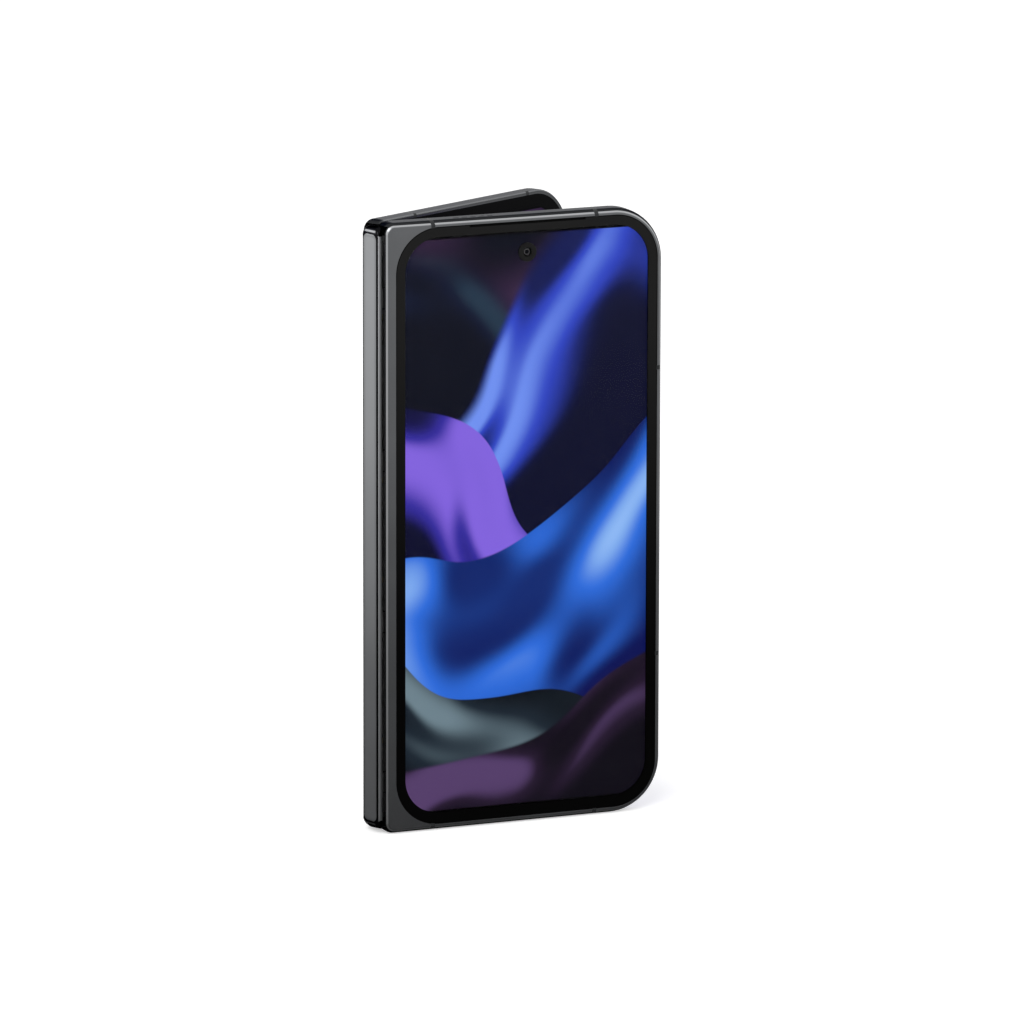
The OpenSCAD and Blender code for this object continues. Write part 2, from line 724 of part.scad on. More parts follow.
// Guide rods beside each base, with springs that press the friction blocks on the base
module hinge_rods() {
  color([0.6, 0.6, 0.62]) at_sets() for (y = [-rod_y, rod_y])
    translate([rod_x, y, 0]) cylinder(r = rod_r, h = rod_len);
}
module hinge_springs() {
  color([0.7, 0.7, 0.72]) at_sets() for (y = [-rod_y, rod_y]) translate([rod_x, y, 1.7]) difference() {
    cylinder(r = rod_r + 0.33, h = rod_len - 2.9);
    translate([0, 0, -1]) cylinder(r = rod_r + 0.08, h = rod_len);
  }
}
module rod_block(z, h) {
  difference() {
    box(-spine_depth + spine_wall + 0.05, base_top, -base_half, base_half, z, z + h);
    for (y = [-rod_y, rod_y]) translate([rod_x, y, z - 1]) cylinder(r = rod_r + 0.02, h = h + 2);
  }
}
module friction_blocks() { color([0.65, 0.6, 0.4]) at_sets() rod_block(0.1, 1.5); }
module spring_stops() { color([0.5, 0.5, 0.52]) at_sets() rod_block(rod_len - 1.1, 1); }

// Folding zone of the inner display, drawn at the angle shown
module fold_display() {
  steps = 10;
  d0 = panel_recess;
  d1 = panel_recess + panel_t;
  side = [for (i = [0:steps]) fold_point(fold_w * i / steps, d0)];
  back = [for (i = [steps:-1:1]) fold_point(fold_w * i / steps, d1)];
  half = concat(side, back);
  far = [for (i = [len(half) - 1:-1:1]) [half[i][0], -half[i][1]]];
  color([0.1, 0.12, 0.4]) prism(display_z0, body_h - display_z0)
    polygon(concat(half, [[-d1, 0]], far));
}

// ---------- rear half ----------

// Opening through the free rail for a button, and the space for its flange behind
module button_cut(z, len) {
  slot = len / 2 + 0.12;
  box(x_free - rail_w - 1, x_free + 1, port_s - button_w / 2 - 0.12, port_s + button_w / 2 + 0.12,
      z - slot, z + slot);
  box(x_free - rail_w - 1, shelf_x, port_s - button_w / 2 - 0.45, port_s + button_w / 2 + 0.45,
      z - slot - 0.8, z + slot + 0.8);
}

module rear_frame() {
  color([0.25, 0.26, 0.27]) difference() {
    frame_blank();
    frame_cuts();
    band_cuts(0, rear_shift);
    // charging port through the bottom rail
    prism(-1, rail_w + 1) stadium(port_x, port_s, port_w, port_h);
    // speaker holes and the microphone hole beside the port
    for (i = [0:4]) translate([port_x + 12 + i * speaker_pitch, port_s, -1])
      cylinder(r = slot_r, h = rail_w + 2);
    translate([port_x - 12, port_s, -1]) cylinder(r = 0.5, h = rail_w + 2);
    button_cut(power_z, power_len);
    button_cut(volume_z, volume_len);
    foot_holes(1);
    for (p = rear_boss) stud(p[0], p[1], screw_r, seat_s - 0.2, seat_s + 3);
    stud(inner_cam_x, inner_cam_z, 2, 0, seat_s + 1);
  }
  color([0.25, 0.26, 0.27]) for (p = rear_boss) boss(p, board_s);
}

module rear_antenna_bands() { color([0.14, 0.14, 0.15]) bands(rear_shift); }

module rear_glass() {
  color([0.1, 0.1, 0.11]) slab(glass_s, s_out) difference() {
    round_rect(glass_x0, glass_x1, glass_inset, body_h - glass_inset, glass_r);
    round_rect(island_x0 - fit_gap, island_x1 + fit_gap, island_z0 - fit_gap, island_z1 + fit_gap,
               island_r + fit_gap);
  }
}

module camera_island() {
  top = s_out + island_rise;
  color([0.2, 0.2, 0.21]) difference() {
    union() {
      slab(glass_s, top - 0.4) round_rect(island_x0, island_x1, island_z0, island_z1, island_r);
      slab(top - 0.41, top)
        round_rect(island_x0 + 0.4, island_x1 - 0.4, island_z0 + 0.4, island_z1 - 0.4, island_r - 0.4);
    }
    for (p = lens_at) {
      stud(p[0], p[1], lens_r + 0.05, top - 0.8, top + 1);
      stud(p[0], p[1], lens_r - 1.2, glass_s - 1, top);
    }
    stud(flash_at[0], flash_at[1], flash_r + 0.05, glass_s - 1, top + 1);
  }
}

module camera_windows() {
  top = s_out + island_rise;
  color([0.02, 0.02, 0.03]) for (p = lens_at) stud(p[0], p[1], lens_r, top - 0.8, top + 0.1);
}

module camera_module(p, r, body) {
  top = s_out + island_rise - 0.85;
  stud(p[0], p[1], r, seat_s + 1, top);
  stud(p[0], p[1], r - 0.8, top - 0.1, top + 0.03);
  box(p[0] - body, p[0] + body, seat_s, glass_s - 0.1, p[1] - body, p[1] + body);
}
module wide_camera() { color([0.05, 0.05, 0.06]) camera_module(lens_at[0], 3.6, 4.6); }
module main_camera() { color([0.05, 0.05, 0.06]) camera_module(lens_at[1], 4.2, main_body); }
module tele_camera() { color([0.05, 0.05, 0.06]) camera_module(lens_at[2], 3.6, 5); }

module flash() {
  color([0.9, 0.88, 0.7]) stud(flash_at[0], flash_at[1], flash_r, glass_s - 0.4, s_out + island_rise);
}

module inner_camera() {
  color([0.04, 0.04, 0.05]) {
    stud(inner_cam_x, inner_cam_z, 1.9, panel_s + 0.1, seat_s + 1.2);
    box(inner_cam_x - 2.6, inner_cam_x + 2.6, seat_s, seat_s + 2.6, inner_cam_z - 2.6, inner_cam_z + 2.6);
  }
}

module rear_inner_bezel() { color([0.03, 0.03, 0.03]) inner_bezel(); }
module rear_inner_panel() {
  color([0.1, 0.12, 0.4]) difference() {
    inner_panel();
    stud(inner_cam_x, inner_cam_z, 2, 0, 3);
  }
}
module rear_display_plate() {
  color([0.6, 0.6, 0.6]) difference() {
    display_plate();
    stud(inner_cam_x, inner_cam_z, 2, 0, 3);
  }
}
module rear_battery() { color([0.12, 0.12, 0.13]) battery(rear_batt_z1, glass_s - 0.5); }

// Main board: beside the cameras and down the hinge side
module main_board() {
  color([0.05, 0.2, 0.12]) difference() {
    slab(board_s, board_s + board_t) difference() {
      round_rect(batt_x0 - 2.2, island_x0 + 7.5, board_z0, board_z1, 1);
      for (cut = [[lens_at[0], 4.8], [lens_at[1], main_body + 0.2]])
        translate([cut[0][0] - cut[1], cut[0][1] - cut[1]]) square([island_w / 2, 2 * cut[1]]);
      translate([inner_cam_x - 2.8, inner_cam_z - 2.8]) square([5.6, 12]);
    }
    for (p = rear_boss) stud(p[0], p[1], screw_r + 0.15, 0, 6);
  }
}
module shield_cans() {
  x0 = batt_x0 + 2;
  x1 = lens_at[1][0] - main_body - 6.6;
  mid = (board_z0 + board_z1) / 2;
  color([0.6, 0.6, 0.62]) {
    box(x0, x1, board_s + board_t, glass_s - 0.3, board_z0 + 4, mid - 1);
    box(x0, x1 - 4, board_s + board_t, glass_s - 0.5, mid + 1, board_z1 - 8);
  }
}

module charging_coil() {
  color([0.65, 0.4, 0.25]) difference() {
    stud(mid_x, coil_z, 21, glass_s - 0.45, glass_s - 0.1);
    stud(mid_x, coil_z, 10, glass_s - 1, glass_s + 1);
  }
}

module usb_port() {
  wall = 0.3;
  w = port_w - 0.1;
  h = port_h - 0.1;
  color([0.6, 0.6, 0.62]) difference() {
    prism(0.5, port_len) stadium(port_x, port_s, w, h);
    prism(0, port_len - wall) stadium(port_x, port_s, w - 2 * wall, h - 2 * wall);
  }
}
port_len = 7.6;
module usb_tongue() {
  color([0.1, 0.1, 0.1]) box(port_x - 3.3, port_x + 3.3, port_s - 0.35, port_s + 0.35, 1.4, port_len - 0.3);
}

module rear_speaker() {
  color([0.08, 0.08, 0.09]) slab(seat_s, glass_s - 0.3)
    round_rect(port_x + 9, x_free - rail_w - 8.8, rail_w + 0.1, batt_z0 - 3, 1.2);
}
module microphone() {
  color([0.7, 0.65, 0.4]) box(port_x - 14, port_x - 10, seat_s, port_s + 1, rail_w + 0.1, rail_w + 3);
}
module rear_magnets() { color([0.7, 0.7, 0.72]) half_magnets(); }
module rear_screws() {
  color([0.5, 0.5, 0.5]) {
    for (p = rear_boss) board_screw(p, board_s + board_t);
    foot_screws(1);
  }
}
module rear_hinge_arms() { color([0.55, 0.55, 0.57]) hinge_arms(1); }
module rear_wing_plate() { color([0.5, 0.5, 0.52]) wing_plate(1); }

// A button: bar through the rail, with a flange behind it that holds it in
module button_bar(z, len, flange) {
  r = button_w / 2;
  translate([button_x, port_s, z]) rotate([0, 90, 0]) linear_extrude(x_free + button_out - button_x) {
    translate([r - len / 2, -r]) square([len - 2 * r, 2 * r]);
    for (end = [-1, 1]) translate([end * (len / 2 - r), 0]) circle(r);
  }
  box(button_x, button_x + flange_t, port_s - r - 0.3, port_s + r + 0.3, z - flange / 2, z + flange / 2);
}
flange_t = 0.4;
shelf_x = x_free - 1.35;
button_x = shelf_x - 0.08 - flange_t;
module power_button() { color([0.3, 0.31, 0.32]) button_bar(power_z, power_len, power_len + 1); }
module volume_rocker() { color([0.3, 0.31, 0.32]) button_bar(volume_z, volume_len, 6); }

switch_x = button_x - power_travel - 0.05;
module dome_switch(z) {
  box(switch_x - 0.8, switch_x, port_s - 1, port_s + 1, z - 1.6, z + 1.6);
}
module power_switch() { color([0.6, 0.6, 0.6]) dome_switch(power_z); }
module volume_switches() {
  color([0.6, 0.6, 0.6]) for (end = [-1, 1]) dome_switch(volume_z + end * (volume_len / 2 - 3));
}

// ---------- assembly ----------

on_front() front_frame();
on_front() front_antenna_bands();
on_front() cover_glass();
on_front() cover_display();
on_front() cover_camera();
on_front() earpiece_mesh();
on_front() front_inner_bezel();
on_front() front_inner_panel();
on_front() front_display_plate();
on_front() front_battery();
on_front() front_board();
on_front() front_speaker();
on_front() vibration_motor();
on_front() front_magnets();
on_front() front_screws();
on_front() sim_reader();
on_front() sim_tray();
on_front() front_hinge_arms();
on_front() front_wing_plate();
on_spine() spine_cover();
on_spine() spine_end_caps();
on_spine() hinge_bases();
on_spine() hinge_rods();
on_spine() hinge_springs();
on_spine() friction_blocks();
on_spine() spring_stops();
on_spine() fold_display();
on_rear() rear_frame();
on_rear() rear_antenna_bands();
on_rear() rear_glass();
on_rear() camera_island();
on_rear() camera_windows();
on_rear() wide_camera();
on_rear() main_camera();
on_rear() tele_camera();
on_rear() flash();
on_rear() inner_camera();
on_rear() rear_inner_bezel();
on_rear() rear_inner_panel();
on_rear() rear_display_plate();
on_rear() rear_battery();
on_rear() main_board();
on_rear() shield_cans();
on_rear() charging_coil();
on_rear() usb_port();
on_rear() usb_tongue();
on_rear() rear_speaker();
on_rear() microphone();
on_rear() rear_magnets();
on_rear() rear_screws();
on_rear() rear_hinge_arms();
on_rear() rear_wing_plate();
on_rear() power_button();
on_rear() power_switch();
on_rear() volume_rocker();
on_rear() volume_switches();
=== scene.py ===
import cmath
import math

import bmesh
import bpy
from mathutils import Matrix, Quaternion, Vector


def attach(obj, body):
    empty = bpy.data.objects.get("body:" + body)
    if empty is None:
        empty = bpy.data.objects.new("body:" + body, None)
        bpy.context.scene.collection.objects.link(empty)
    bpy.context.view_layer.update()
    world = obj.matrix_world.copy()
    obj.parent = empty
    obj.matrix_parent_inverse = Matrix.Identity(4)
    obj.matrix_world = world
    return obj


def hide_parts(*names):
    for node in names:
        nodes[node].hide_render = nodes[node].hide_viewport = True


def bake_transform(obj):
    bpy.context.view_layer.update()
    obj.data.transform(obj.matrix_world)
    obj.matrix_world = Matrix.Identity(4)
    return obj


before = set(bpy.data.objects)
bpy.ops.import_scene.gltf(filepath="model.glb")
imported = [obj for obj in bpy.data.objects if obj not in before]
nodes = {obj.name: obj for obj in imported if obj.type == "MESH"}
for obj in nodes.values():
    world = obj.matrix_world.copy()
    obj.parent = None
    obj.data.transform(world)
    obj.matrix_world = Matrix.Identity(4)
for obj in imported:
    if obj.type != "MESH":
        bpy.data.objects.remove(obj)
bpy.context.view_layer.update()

scene = bpy.context.scene

# ---------- Frames ----------
# Each half is built on a frame milled from aluminium, blasted to a fine satin and
# anodised graphite. The last cut leaves a brighter chamfer round the outer face, painted
# lighter still as a highlight.

MM = 0.001
BODY_HEIGHT = 155.2
HALF_MIDDLE = 36.375                    # across a half, from the hinge side
PART_ORIGIN = complex(HALF_MIDDLE, -2.7)    # the middle of the front half, from above
FOLD_OPEN = math.radians(13.75)         # how far each of the two fold axes stands open
AXIS_OUT, AXIS_OFF = 0.8, 0.95          # of a fold axis, from x = 0 and from the spine's middle
FOLD_AXES = complex(-AXIS_OUT, -AXIS_OFF), complex(-AXIS_OUT, AXIS_OFF)
# Rounded outlines: left, right, bottom, top, corner radius at the left and at the right
RAIL_EDGE = (-1.5, 74.25, 0.0, BODY_HEIGHT, 2.8, 13.5)
GLASS_EDGE = (1.85, 72.45, 1.8, 153.4, 11.4, 11.4)


def place_of(half):
    """Where a half's own millimetres lie in the part: origin, turn, and -1 if mirrored."""
    turn = cmath.exp(1j * FOLD_OPEN)
    near, far = FOLD_AXES
    if half == "front":
        return -PART_ORIGIN, 0.0, -1
    if half == "spine":
        return near - turn * near - PART_ORIGIN, FOLD_OPEN, 1
    return near + turn * (far - near) - turn ** 2 * far - PART_ORIGIN, 2 * FOLD_OPEN, 1


def in_part(half, x, depth, z):
    """A half's point (x from the hinge, depth from the inner face, z up) in the part's metres."""
    origin, turn, side = place_of(half)
    spot = origin + cmath.exp(1j * turn) * complex(x, side * depth)
    return Vector((spot.real * MM, spot.imag * MM, z * MM))


def connect(tree, sockets, inputs):
    """Each socket gets a value, or another node's output. A colour is red, green and blue."""
    for name, value in dict(inputs).items():
        if isinstance(value, bpy.types.NodeSocket):
            tree.links.new(value, sockets[name])
        elif sockets[name].type == "RGBA":
            sockets[name].default_value = (*value, 1)
        else:
            sockets[name].default_value = value


def add(tree, kind, inputs=(), **settings):
    """A shader node with these settings and inputs."""
    node = tree.nodes.new("ShaderNode" + kind)
    for name, value in settings.items():
        setattr(node, name, value)
    connect(tree, node.inputs, inputs)
    return node


def calc(tree, operation, *values):
    """The result of a math node."""
    return add(tree, "Math", enumerate(values), operation=operation).outputs[0]


def ramp(tree, value, none_at, full_at):
    """0 at none_at and before it, 1 at full_at and past it, smooth between."""
    node = add(tree, "MapRange", {"Value": value, "From Min": none_at, "From Max": full_at},
               interpolation_type="SMOOTHSTEP")
    return node.outputs["Result"]


def band(tree, value, start, full, fading, end):
    """1 from full to fading, 0 before start and past end."""
    return calc(tree, "MULTIPLY", ramp(tree, value, start, full), ramp(tree, value, end, fading))


def mix_colour(tree, amount, first, second):
    """first where amount is 0, second where it is 1."""
    return add(tree, "Mix", {0: amount, 6: first, 7: second}, data_type="RGBA").outputs[2]


def new_group(name, inputs, outputs):
    """An empty node group: its tree, its inputs and its outputs, given as kind: labels."""
    tree = bpy.data.node_groups.new(name, "ShaderNodeTree")
    for way, sockets in (("INPUT", inputs), ("OUTPUT", outputs)):
        for kind, labels in sockets.items():
            for label in labels:
                tree.interface.new_socket(label, in_out=way, socket_type="NodeSocket" + kind)
    start = tree.nodes.new("NodeGroupInput")
    end = tree.nodes.new("NodeGroupOutput")
    return tree, start.outputs, end.inputs


def use(tree, group, inputs):
    """A node group placed in a tree: its outputs."""
    return add(tree, "Group", inputs, node_tree=group).outputs


def new_material(name, **constants):
    """A material with its Principled shader: constants are set on the shader's own sockets."""
    material = bpy.data.materials.new(name)
    material.use_nodes = True
    tree = material.node_tree
    shader = tree.nodes["Principled BSDF"].inputs
    connect(tree, shader, {socket.replace("_", " "): value for socket, value in constants.items()})
    return material, tree, shader


def paint(tree, shader, shade, roughness, height, strength, relief):
    """Gives a shader its colour, its roughness, and a bump of relief millimetres."""
    bump = add(tree, "Bump", {"Strength": strength, "Distance": relief * MM, "Height": height})
    connect(tree, shader, {"Base Color": shade, "Roughness": roughness,
                           "Normal": bump.outputs[0]})


def half_point(tree, half):
    """The shaded point in a half's own millimetres, as x, depth and z."""
    origin, turn, side = place_of(half)
    where = add(tree, "TexCoord").outputs["Object"]
    return add(tree, "Mapping", {
        "Vector": where, "Location": (origin.real * MM, origin.imag * MM, 0),
        "Rotation": (0, 0, turn), "Scale": (MM, side * MM, MM)}, vector_type="TEXTURE").outputs[0]


def dress(material, *names):
    """Gives these CAD nodes a material."""
    for name in names:
        for slot in nodes[name].material_slots:
            slot.material = material


def for_halves(make, name, *values, **settings):
    """One material for each half, in that half's own millimetres."""
    return {half: make(f"{name}_{half}", half, *values, **settings) for half in ("front", "rear")}


def dress_halves(materials, name):
    """Gives each half's node of this kind that half's material."""
    for half, material in materials.items():
        dress(material, f"{half}_{name}")


# How far inside a rounded rectangle a point lies, across x and z
inside_edge, given, result = new_group(
    "inside_rounded_edge",
    {"Vector": ["Point"],
     "Float": ["Left", "Right", "Bottom", "Top", "Left Radius", "Right Radius"]},
    {"Float": ["Distance"]})
tree = inside_edge
place = add(tree, "SeparateXYZ", {0: given["Point"]}).outputs
spans = []
for axis, low, high in ((0, "Left", "Right"), (2, "Bottom", "Top")):
    middle = calc(tree, "MULTIPLY", calc(tree, "ADD", given[low], given[high]), 0.5)
    spans.append((calc(tree, "SUBTRACT", place[axis], middle),
                  calc(tree, "SUBTRACT", given[high], middle)))
at_right = calc(tree, "GREATER_THAN", spans[0][0], 0)
radius = add(tree, "Mix", {0: at_right, 2: given["Left Radius"], 3: given["Right Radius"]})
radius = radius.outputs[0]
over = []
for from_middle, half_span in spans:
    past = calc(tree, "SUBTRACT", calc(tree, "ABSOLUTE", from_middle), half_span)
    over.append(calc(tree, "ADD", past, radius))
corner = add(tree, "CombineXYZ", {k: calc(tree, "MAXIMUM", part, 0) for k, part in enumerate(over)})
outside = add(tree, "VectorMath", {0: corner.outputs[0]}, operation="LENGTH").outputs["Value"]
inside = calc(tree, "MINIMUM", calc(tree, "MAXIMUM", *over), 0)
tree.links.new(calc(tree, "SUBTRACT", radius, calc(tree, "ADD", outside, inside)),
               result["Distance"])


def inside_by(tree, point, left, right, bottom, top, left_radius, right_radius):
    """How far inside this rounded outline the point lies."""
    return use(tree, inside_edge, {
        "Point": point, "Left": left, "Right": right, "Bottom": bottom, "Top": top,
        "Left Radius": left_radius, "Right Radius": right_radius})[0]


# Blasted metal: a fine grain for the bump, and a slow change of shade over the piece
grain_group, given, result = new_group("blasted_grain", {"Vector": ["Point"], "Float": ["Grain"]},
                                       {"Float": ["Height", "Shade"]})
tree = grain_group
fine = add(tree, "TexNoise", {"Vector": given["Point"], "Scale": given["Grain"], "Detail": 2.0})
slow = add(tree, "TexNoise", {"Vector": given["Point"], "Scale": 0.035, "Detail": 3.0})
shade = calc(tree, "MULTIPLY_ADD", slow.outputs[0], 0.7,
             calc(tree, "MULTIPLY", fine.outputs[0], 0.3))
connect(tree, result, {"Height": fine.outputs[0], "Shade": shade})


def blasted_metal(name, half, dark, light, rough, cuts=None):
    """Anodised metal of one half. cuts(tree, point) lists the mask, colour and roughness of
    each part that is cut or polished after blasting."""
    material, tree, shader = new_material(name, Metallic=1.0, Specular_Tint=(0.36, 0.36, 0.37))
    point = half_point(tree, half)
    grain = use(tree, grain_group, {"Point": point, "Grain": 5.0})
    shade = mix_colour(tree, ramp(tree, grain["Shade"], 0.3, 0.7), dark, light)
    roughness = calc(tree, "MULTIPLY_ADD", grain["Shade"], 0.1, rough - 0.05)
    for mask, cut_shade, cut_rough in cuts(tree, point) if cuts else ():
        shade = mix_colour(tree, mask, shade, cut_shade)
        roughness = add(tree, "Mix", {0: mask, 2: roughness, 3: cut_rough}).outputs[0]
    paint(tree, shader, shade, roughness, grain["Height"], 0.12, 0.02)
    return material


def rail_cuts(tree, point):
    """The glossy flank, the satin flat along it, the inner face, painted shade on the speaker
    slots' walls and the other walls inside the rails, the chamfer with a painted highlight, and the
    gasket round the glass. Depth is from the inner face outwards."""
    edge = inside_by(tree, point, *RAIL_EDGE)
    glass = inside_by(tree, point, *GLASS_EDGE)
    across, depth = add(tree, "SeparateXYZ", {0: point}).outputs[:2]
    flank = ramp(tree, edge, 0.66, 0.6)
    level = calc(tree, "MULTIPLY", band(tree, depth, 0.05, 0.3, 3.5, 3.9),
                 ramp(tree, across, 0.6, 1.8))
    inner_face = ramp(tree, depth, 0.22, 0.08)
    # Painted shade: the walls of the slots and hollows inside the rails are painted nearly black.
    painted_recess_shade = calc(tree, "MULTIPLY", band(tree, depth, 0.6, 0.75, 3.5, 3.65),
                      ramp(tree, edge, 0.16, 0.32))
    # The chamfer is cut to bare metal, and its colour is raised further as a painted highlight.
    chamfer_and_highlight = calc(tree, "MULTIPLY", band(tree, edge, 0.62, 0.68, 0.96, 1.06),
                   ramp(tree, depth, 4.66, 4.76))
    gasket = ramp(tree, glass, -0.26, -0.16)
    return [(flank, (0.03, 0.031, 0.033), 0.2), (level, (0.2, 0.205, 0.213), 0.32),
            (inner_face, (0.012, 0.012, 0.013), 0.3), (painted_recess_shade, (0.006, 0.006, 0.0065), 0.5),
            (chamfer_and_highlight, (0.42, 0.427, 0.437), 0.34), (gasket, (0.002, 0.002, 0.002), 0.6)]


dress_halves(for_halves(blasted_metal, "graphite", (0.135, 0.139, 0.145), (0.165, 0.17, 0.177),
                        0.34, rail_cuts), "frame")

# ---------- Antenna bands ----------
# Plastic moulded into slots across the rails, where the frame has to let radio waves
# through. It is machined flush with the metal and has a dull, faintly flecked face.


def moulded_plastic(name, half, dark, rough, fleck=6.0, gloss=0.5):
    """Plastic with fine flecks of a lighter shade; fleck is how many, gloss how much it shines."""
    material, tree, shader = new_material(name, Specular_IOR_Level=gloss)
    grain = use(tree, grain_group, {"Point": half_point(tree, half), "Grain": fleck})
    light = tuple(1.35 * part for part in dark)
    paint(tree, shader, mix_colour(tree, ramp(tree, grain["Height"], 0.35, 0.65), dark, light),
          calc(tree, "MULTIPLY_ADD", grain["Shade"], 0.1, rough - 0.05), grain["Height"], 0.1, 0.02)
    return material


dress_halves(for_halves(moulded_plastic, "band_plastic", (0.016, 0.017, 0.018), 0.42, gloss=0.2),
             "antenna_bands")

# ---------- Spine ----------
# A drawn metal channel that closes the hinge from outside, in an anodised satin much lighter than
# the frames'.
# Its ends are solid caps, ground and polished to a black gloss, pressed into the cover.

MIDDLE_HEIGHT = BODY_HEIGHT / 2
# Rounded outlines on the outer face: the satin field, and where the side walls carry a painted
# sheen
FIELD_EDGE = (-2.74, 2.5, 3.0, 152.2, 1.5, 1.5)
SIDE_SHEEN_EDGE = (-4.2, 4.2, 3.0, 152.2, 1.5, 1.5)


def spine_cuts(tree, point):
    """Painted shade darkening the satin field towards its edge, the polish round the field, a
    painted sheen on the side walls, and a painted highlight line on each cap."""
    depth, up = add(tree, "SeparateXYZ", {0: point}).outputs[1:]
    outer_face = add(tree, "CombineXYZ", {0: depth, 2: up}).outputs[0]
    field = inside_by(tree, outer_face, *FIELD_EDGE)
    walls = inside_by(tree, outer_face, *SIDE_SHEEN_EDGE)
    beside = calc(tree, "ABSOLUTE", depth)
    from_middle = calc(tree, "ABSOLUTE", calc(tree, "SUBTRACT", up, MIDDLE_HEIGHT))
    # Painted shade: the satin field darkens towards its edge, as a rounded face would.
    painted_edge_shade = calc(tree, "MULTIPLY", ramp(tree, field, 1.1, 0.0), 0.55)
    polish = ramp(tree, field, 0.03, -0.03)
    # Painted sheen: the side walls are painted bright, standing in for the light they catch.
    side = calc(tree, "MULTIPLY", ramp(tree, beside, 3.1, 3.18), ramp(tree, walls, 0.0, 0.4))
    # Painted highlight: a bright line round each cap, standing in for a reflection in its rounding.
    painted_cap_highlight = calc(tree, "MULTIPLY", band(tree, from_middle, 75.05, 75.15, 75.5, 75.65),
                    ramp(tree, beside, 2.5, 1.7))
    return [(painted_edge_shade, (0.18, 0.184, 0.19), 0.38), (polish, (0.008, 0.008, 0.009), 0.12),
            (side, (0.62, 0.63, 0.65), 0.36), (painted_cap_highlight, (0.15, 0.153, 0.158), 0.3)]


spine_metal = blasted_metal("spine_satin", "spine", (0.35, 0.358, 0.37), (0.39, 0.398, 0.41),
                            0.32, spine_cuts)
dress(spine_metal, "spine_cover")

# Each cap is turned in smoothly at its end, so its section shrinks as its height runs out.
CAP_LENGTH, CAP_TURN = 2.35, 1.5
CAP_CORNER, CORNER_GROWTH = 0.45, 0.5   # of the section's corner radius, along the cap
CAP_STEPS, CORNER_STEPS = 10, 6
SPINE_LIP, SPINE_SIDE, SPINE_FACE = -1.9, 3.2, -3.448


def finish_mesh(name, mesh, smooth=True):
    """Puts a mesh into the scene as an object."""
    data = bpy.data.meshes.new(name)
    mesh.to_mesh(data)
    mesh.free()
    for face in data.polygons:
        face.use_smooth = smooth
    piece = bpy.data.objects.new(name, data)
    scene.collection.objects.link(piece)
    return piece


def skinned(mesh, rings):
    """Faces between rings of equally many points, and one face over each end."""
    for one, two in zip(rings, rings[1:]):
        for k in range(len(one)):
            n = (k + 1) % len(one)
            mesh.faces.new((one[k], one[n], two[n], two[k]))
    for ring in (rings[0], rings[-1]):
        for edge in mesh.faces.new(ring).edges:
            edge.smooth = False
    bmesh.ops.recalc_face_normals(mesh, faces=mesh.faces)


for end, base, way in (("bottom", 3.4, -1), ("top", 151.8, 1)):
    mesh = bmesh.new()
    rings = []
    for step in range(CAP_STEPS + 1):
        angle = math.pi / 2 * step / CAP_STEPS
        inset = CAP_TURN * (1 - math.cos(angle))
        radius = CAP_CORNER + CORNER_GROWTH * math.sin(angle)
        turns = [math.pi / 2 / CORNER_STEPS * k for k in range(CORNER_STEPS + 1)]
        outline = [(SPINE_LIP, inset - SPINE_SIDE)]
        for side, corner in ((-1, turns), (1, turns[::-1])):
            outline += [(SPINE_FACE + inset + radius * (1 - math.sin(turn)),
                         side * (SPINE_SIDE - inset - radius * (1 - math.cos(turn))))
                        for turn in corner]
        outline.append((SPINE_LIP, SPINE_SIDE - inset))
        z = base + way * CAP_LENGTH * math.sin(angle)
        rings.append([mesh.verts.new(in_part("spine", min(x, SPINE_LIP), y, z))
                      for x, y in outline])
    skinned(mesh, rings)
    cap = finish_mesh("spine_cap_" + end, mesh)
    cap.data.materials.append(spine_metal)
    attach(cap, "spine")
    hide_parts("spine_end_caps")

# ---------- Hinge ----------
# Steel arms with arc shoes run in arc grooves of the bases. Coil springs on guide rods
# press brass friction blocks on the bases, and the wing plates carry the display.

line_group, given, result = new_group("machined_lines", {"Vector": ["Point"]},
                                      {"Float": ["Height", "Shade"]})
tree = line_group
stretched = add(tree, "Mapping", {"Vector": given["Point"], "Scale": (9.0, 9.0, 0.5)}).outputs[0]
lines = add(tree, "TexNoise", {"Vector": stretched, "Scale": 1.0, "Detail": 4.0}).outputs[0]
blots = add(tree, "TexNoise", {"Vector": given["Point"], "Scale": 0.3, "Detail": 2.0}).outputs[0]
shade = calc(tree, "MULTIPLY_ADD", lines, 0.6, calc(tree, "MULTIPLY", blots, 0.4))
connect(tree, result, {"Height": lines, "Shade": shade})


def machined(name, half, dark, light, rough):
    """Ground or drawn metal, with fine lines up its height."""
    material, tree, shader = new_material(name, Metallic=1.0)
    lines = use(tree, line_group, {"Point": half_point(tree, half)})
    paint(tree, shader, mix_colour(tree, ramp(tree, lines["Shade"], 0.3, 0.7), dark, light),
          calc(tree, "MULTIPLY_ADD", lines["Shade"], 0.16, rough - 0.08), lines["Height"],
          0.15, 0.02)
    return material


hinge_steel = machined("hinge_steel", "spine", (0.36, 0.36, 0.365), (0.46, 0.46, 0.465), 0.32)
dress(hinge_steel, "front_hinge_arms", "rear_hinge_arms", "hinge_bases", "spring_stops",
      "hinge_rods")
dress(machined("friction_brass", "spine", (0.5, 0.4, 0.2), (0.64, 0.52, 0.28), 0.35),
      "friction_blocks")
plate_steel = machined("plate_steel", "front", (0.42, 0.42, 0.425), (0.52, 0.52, 0.525), 0.36)
dress(plate_steel, "front_wing_plate", "rear_wing_plate", "front_display_plate",
      "rear_display_plate")

# The springs are wound from round steel wire with closed ends, eight of them along the spine.
BASE_ENDS = [(23.0, 1), (64.07, 1), (91.13, -1), (132.2, -1)]   # and which way its rods point
ROD_X, ROD_Y = -2.15, 1.5
SPRING_SPAN = 1.87, 7.63                # from the base's end, at the middle of the wire
SPRING_RADIUS, SPRING_WIRE, SPRING_TURNS = 0.6, 0.11, 11
CLOSED = 0.06                           # share of the wire that lies flat at each end


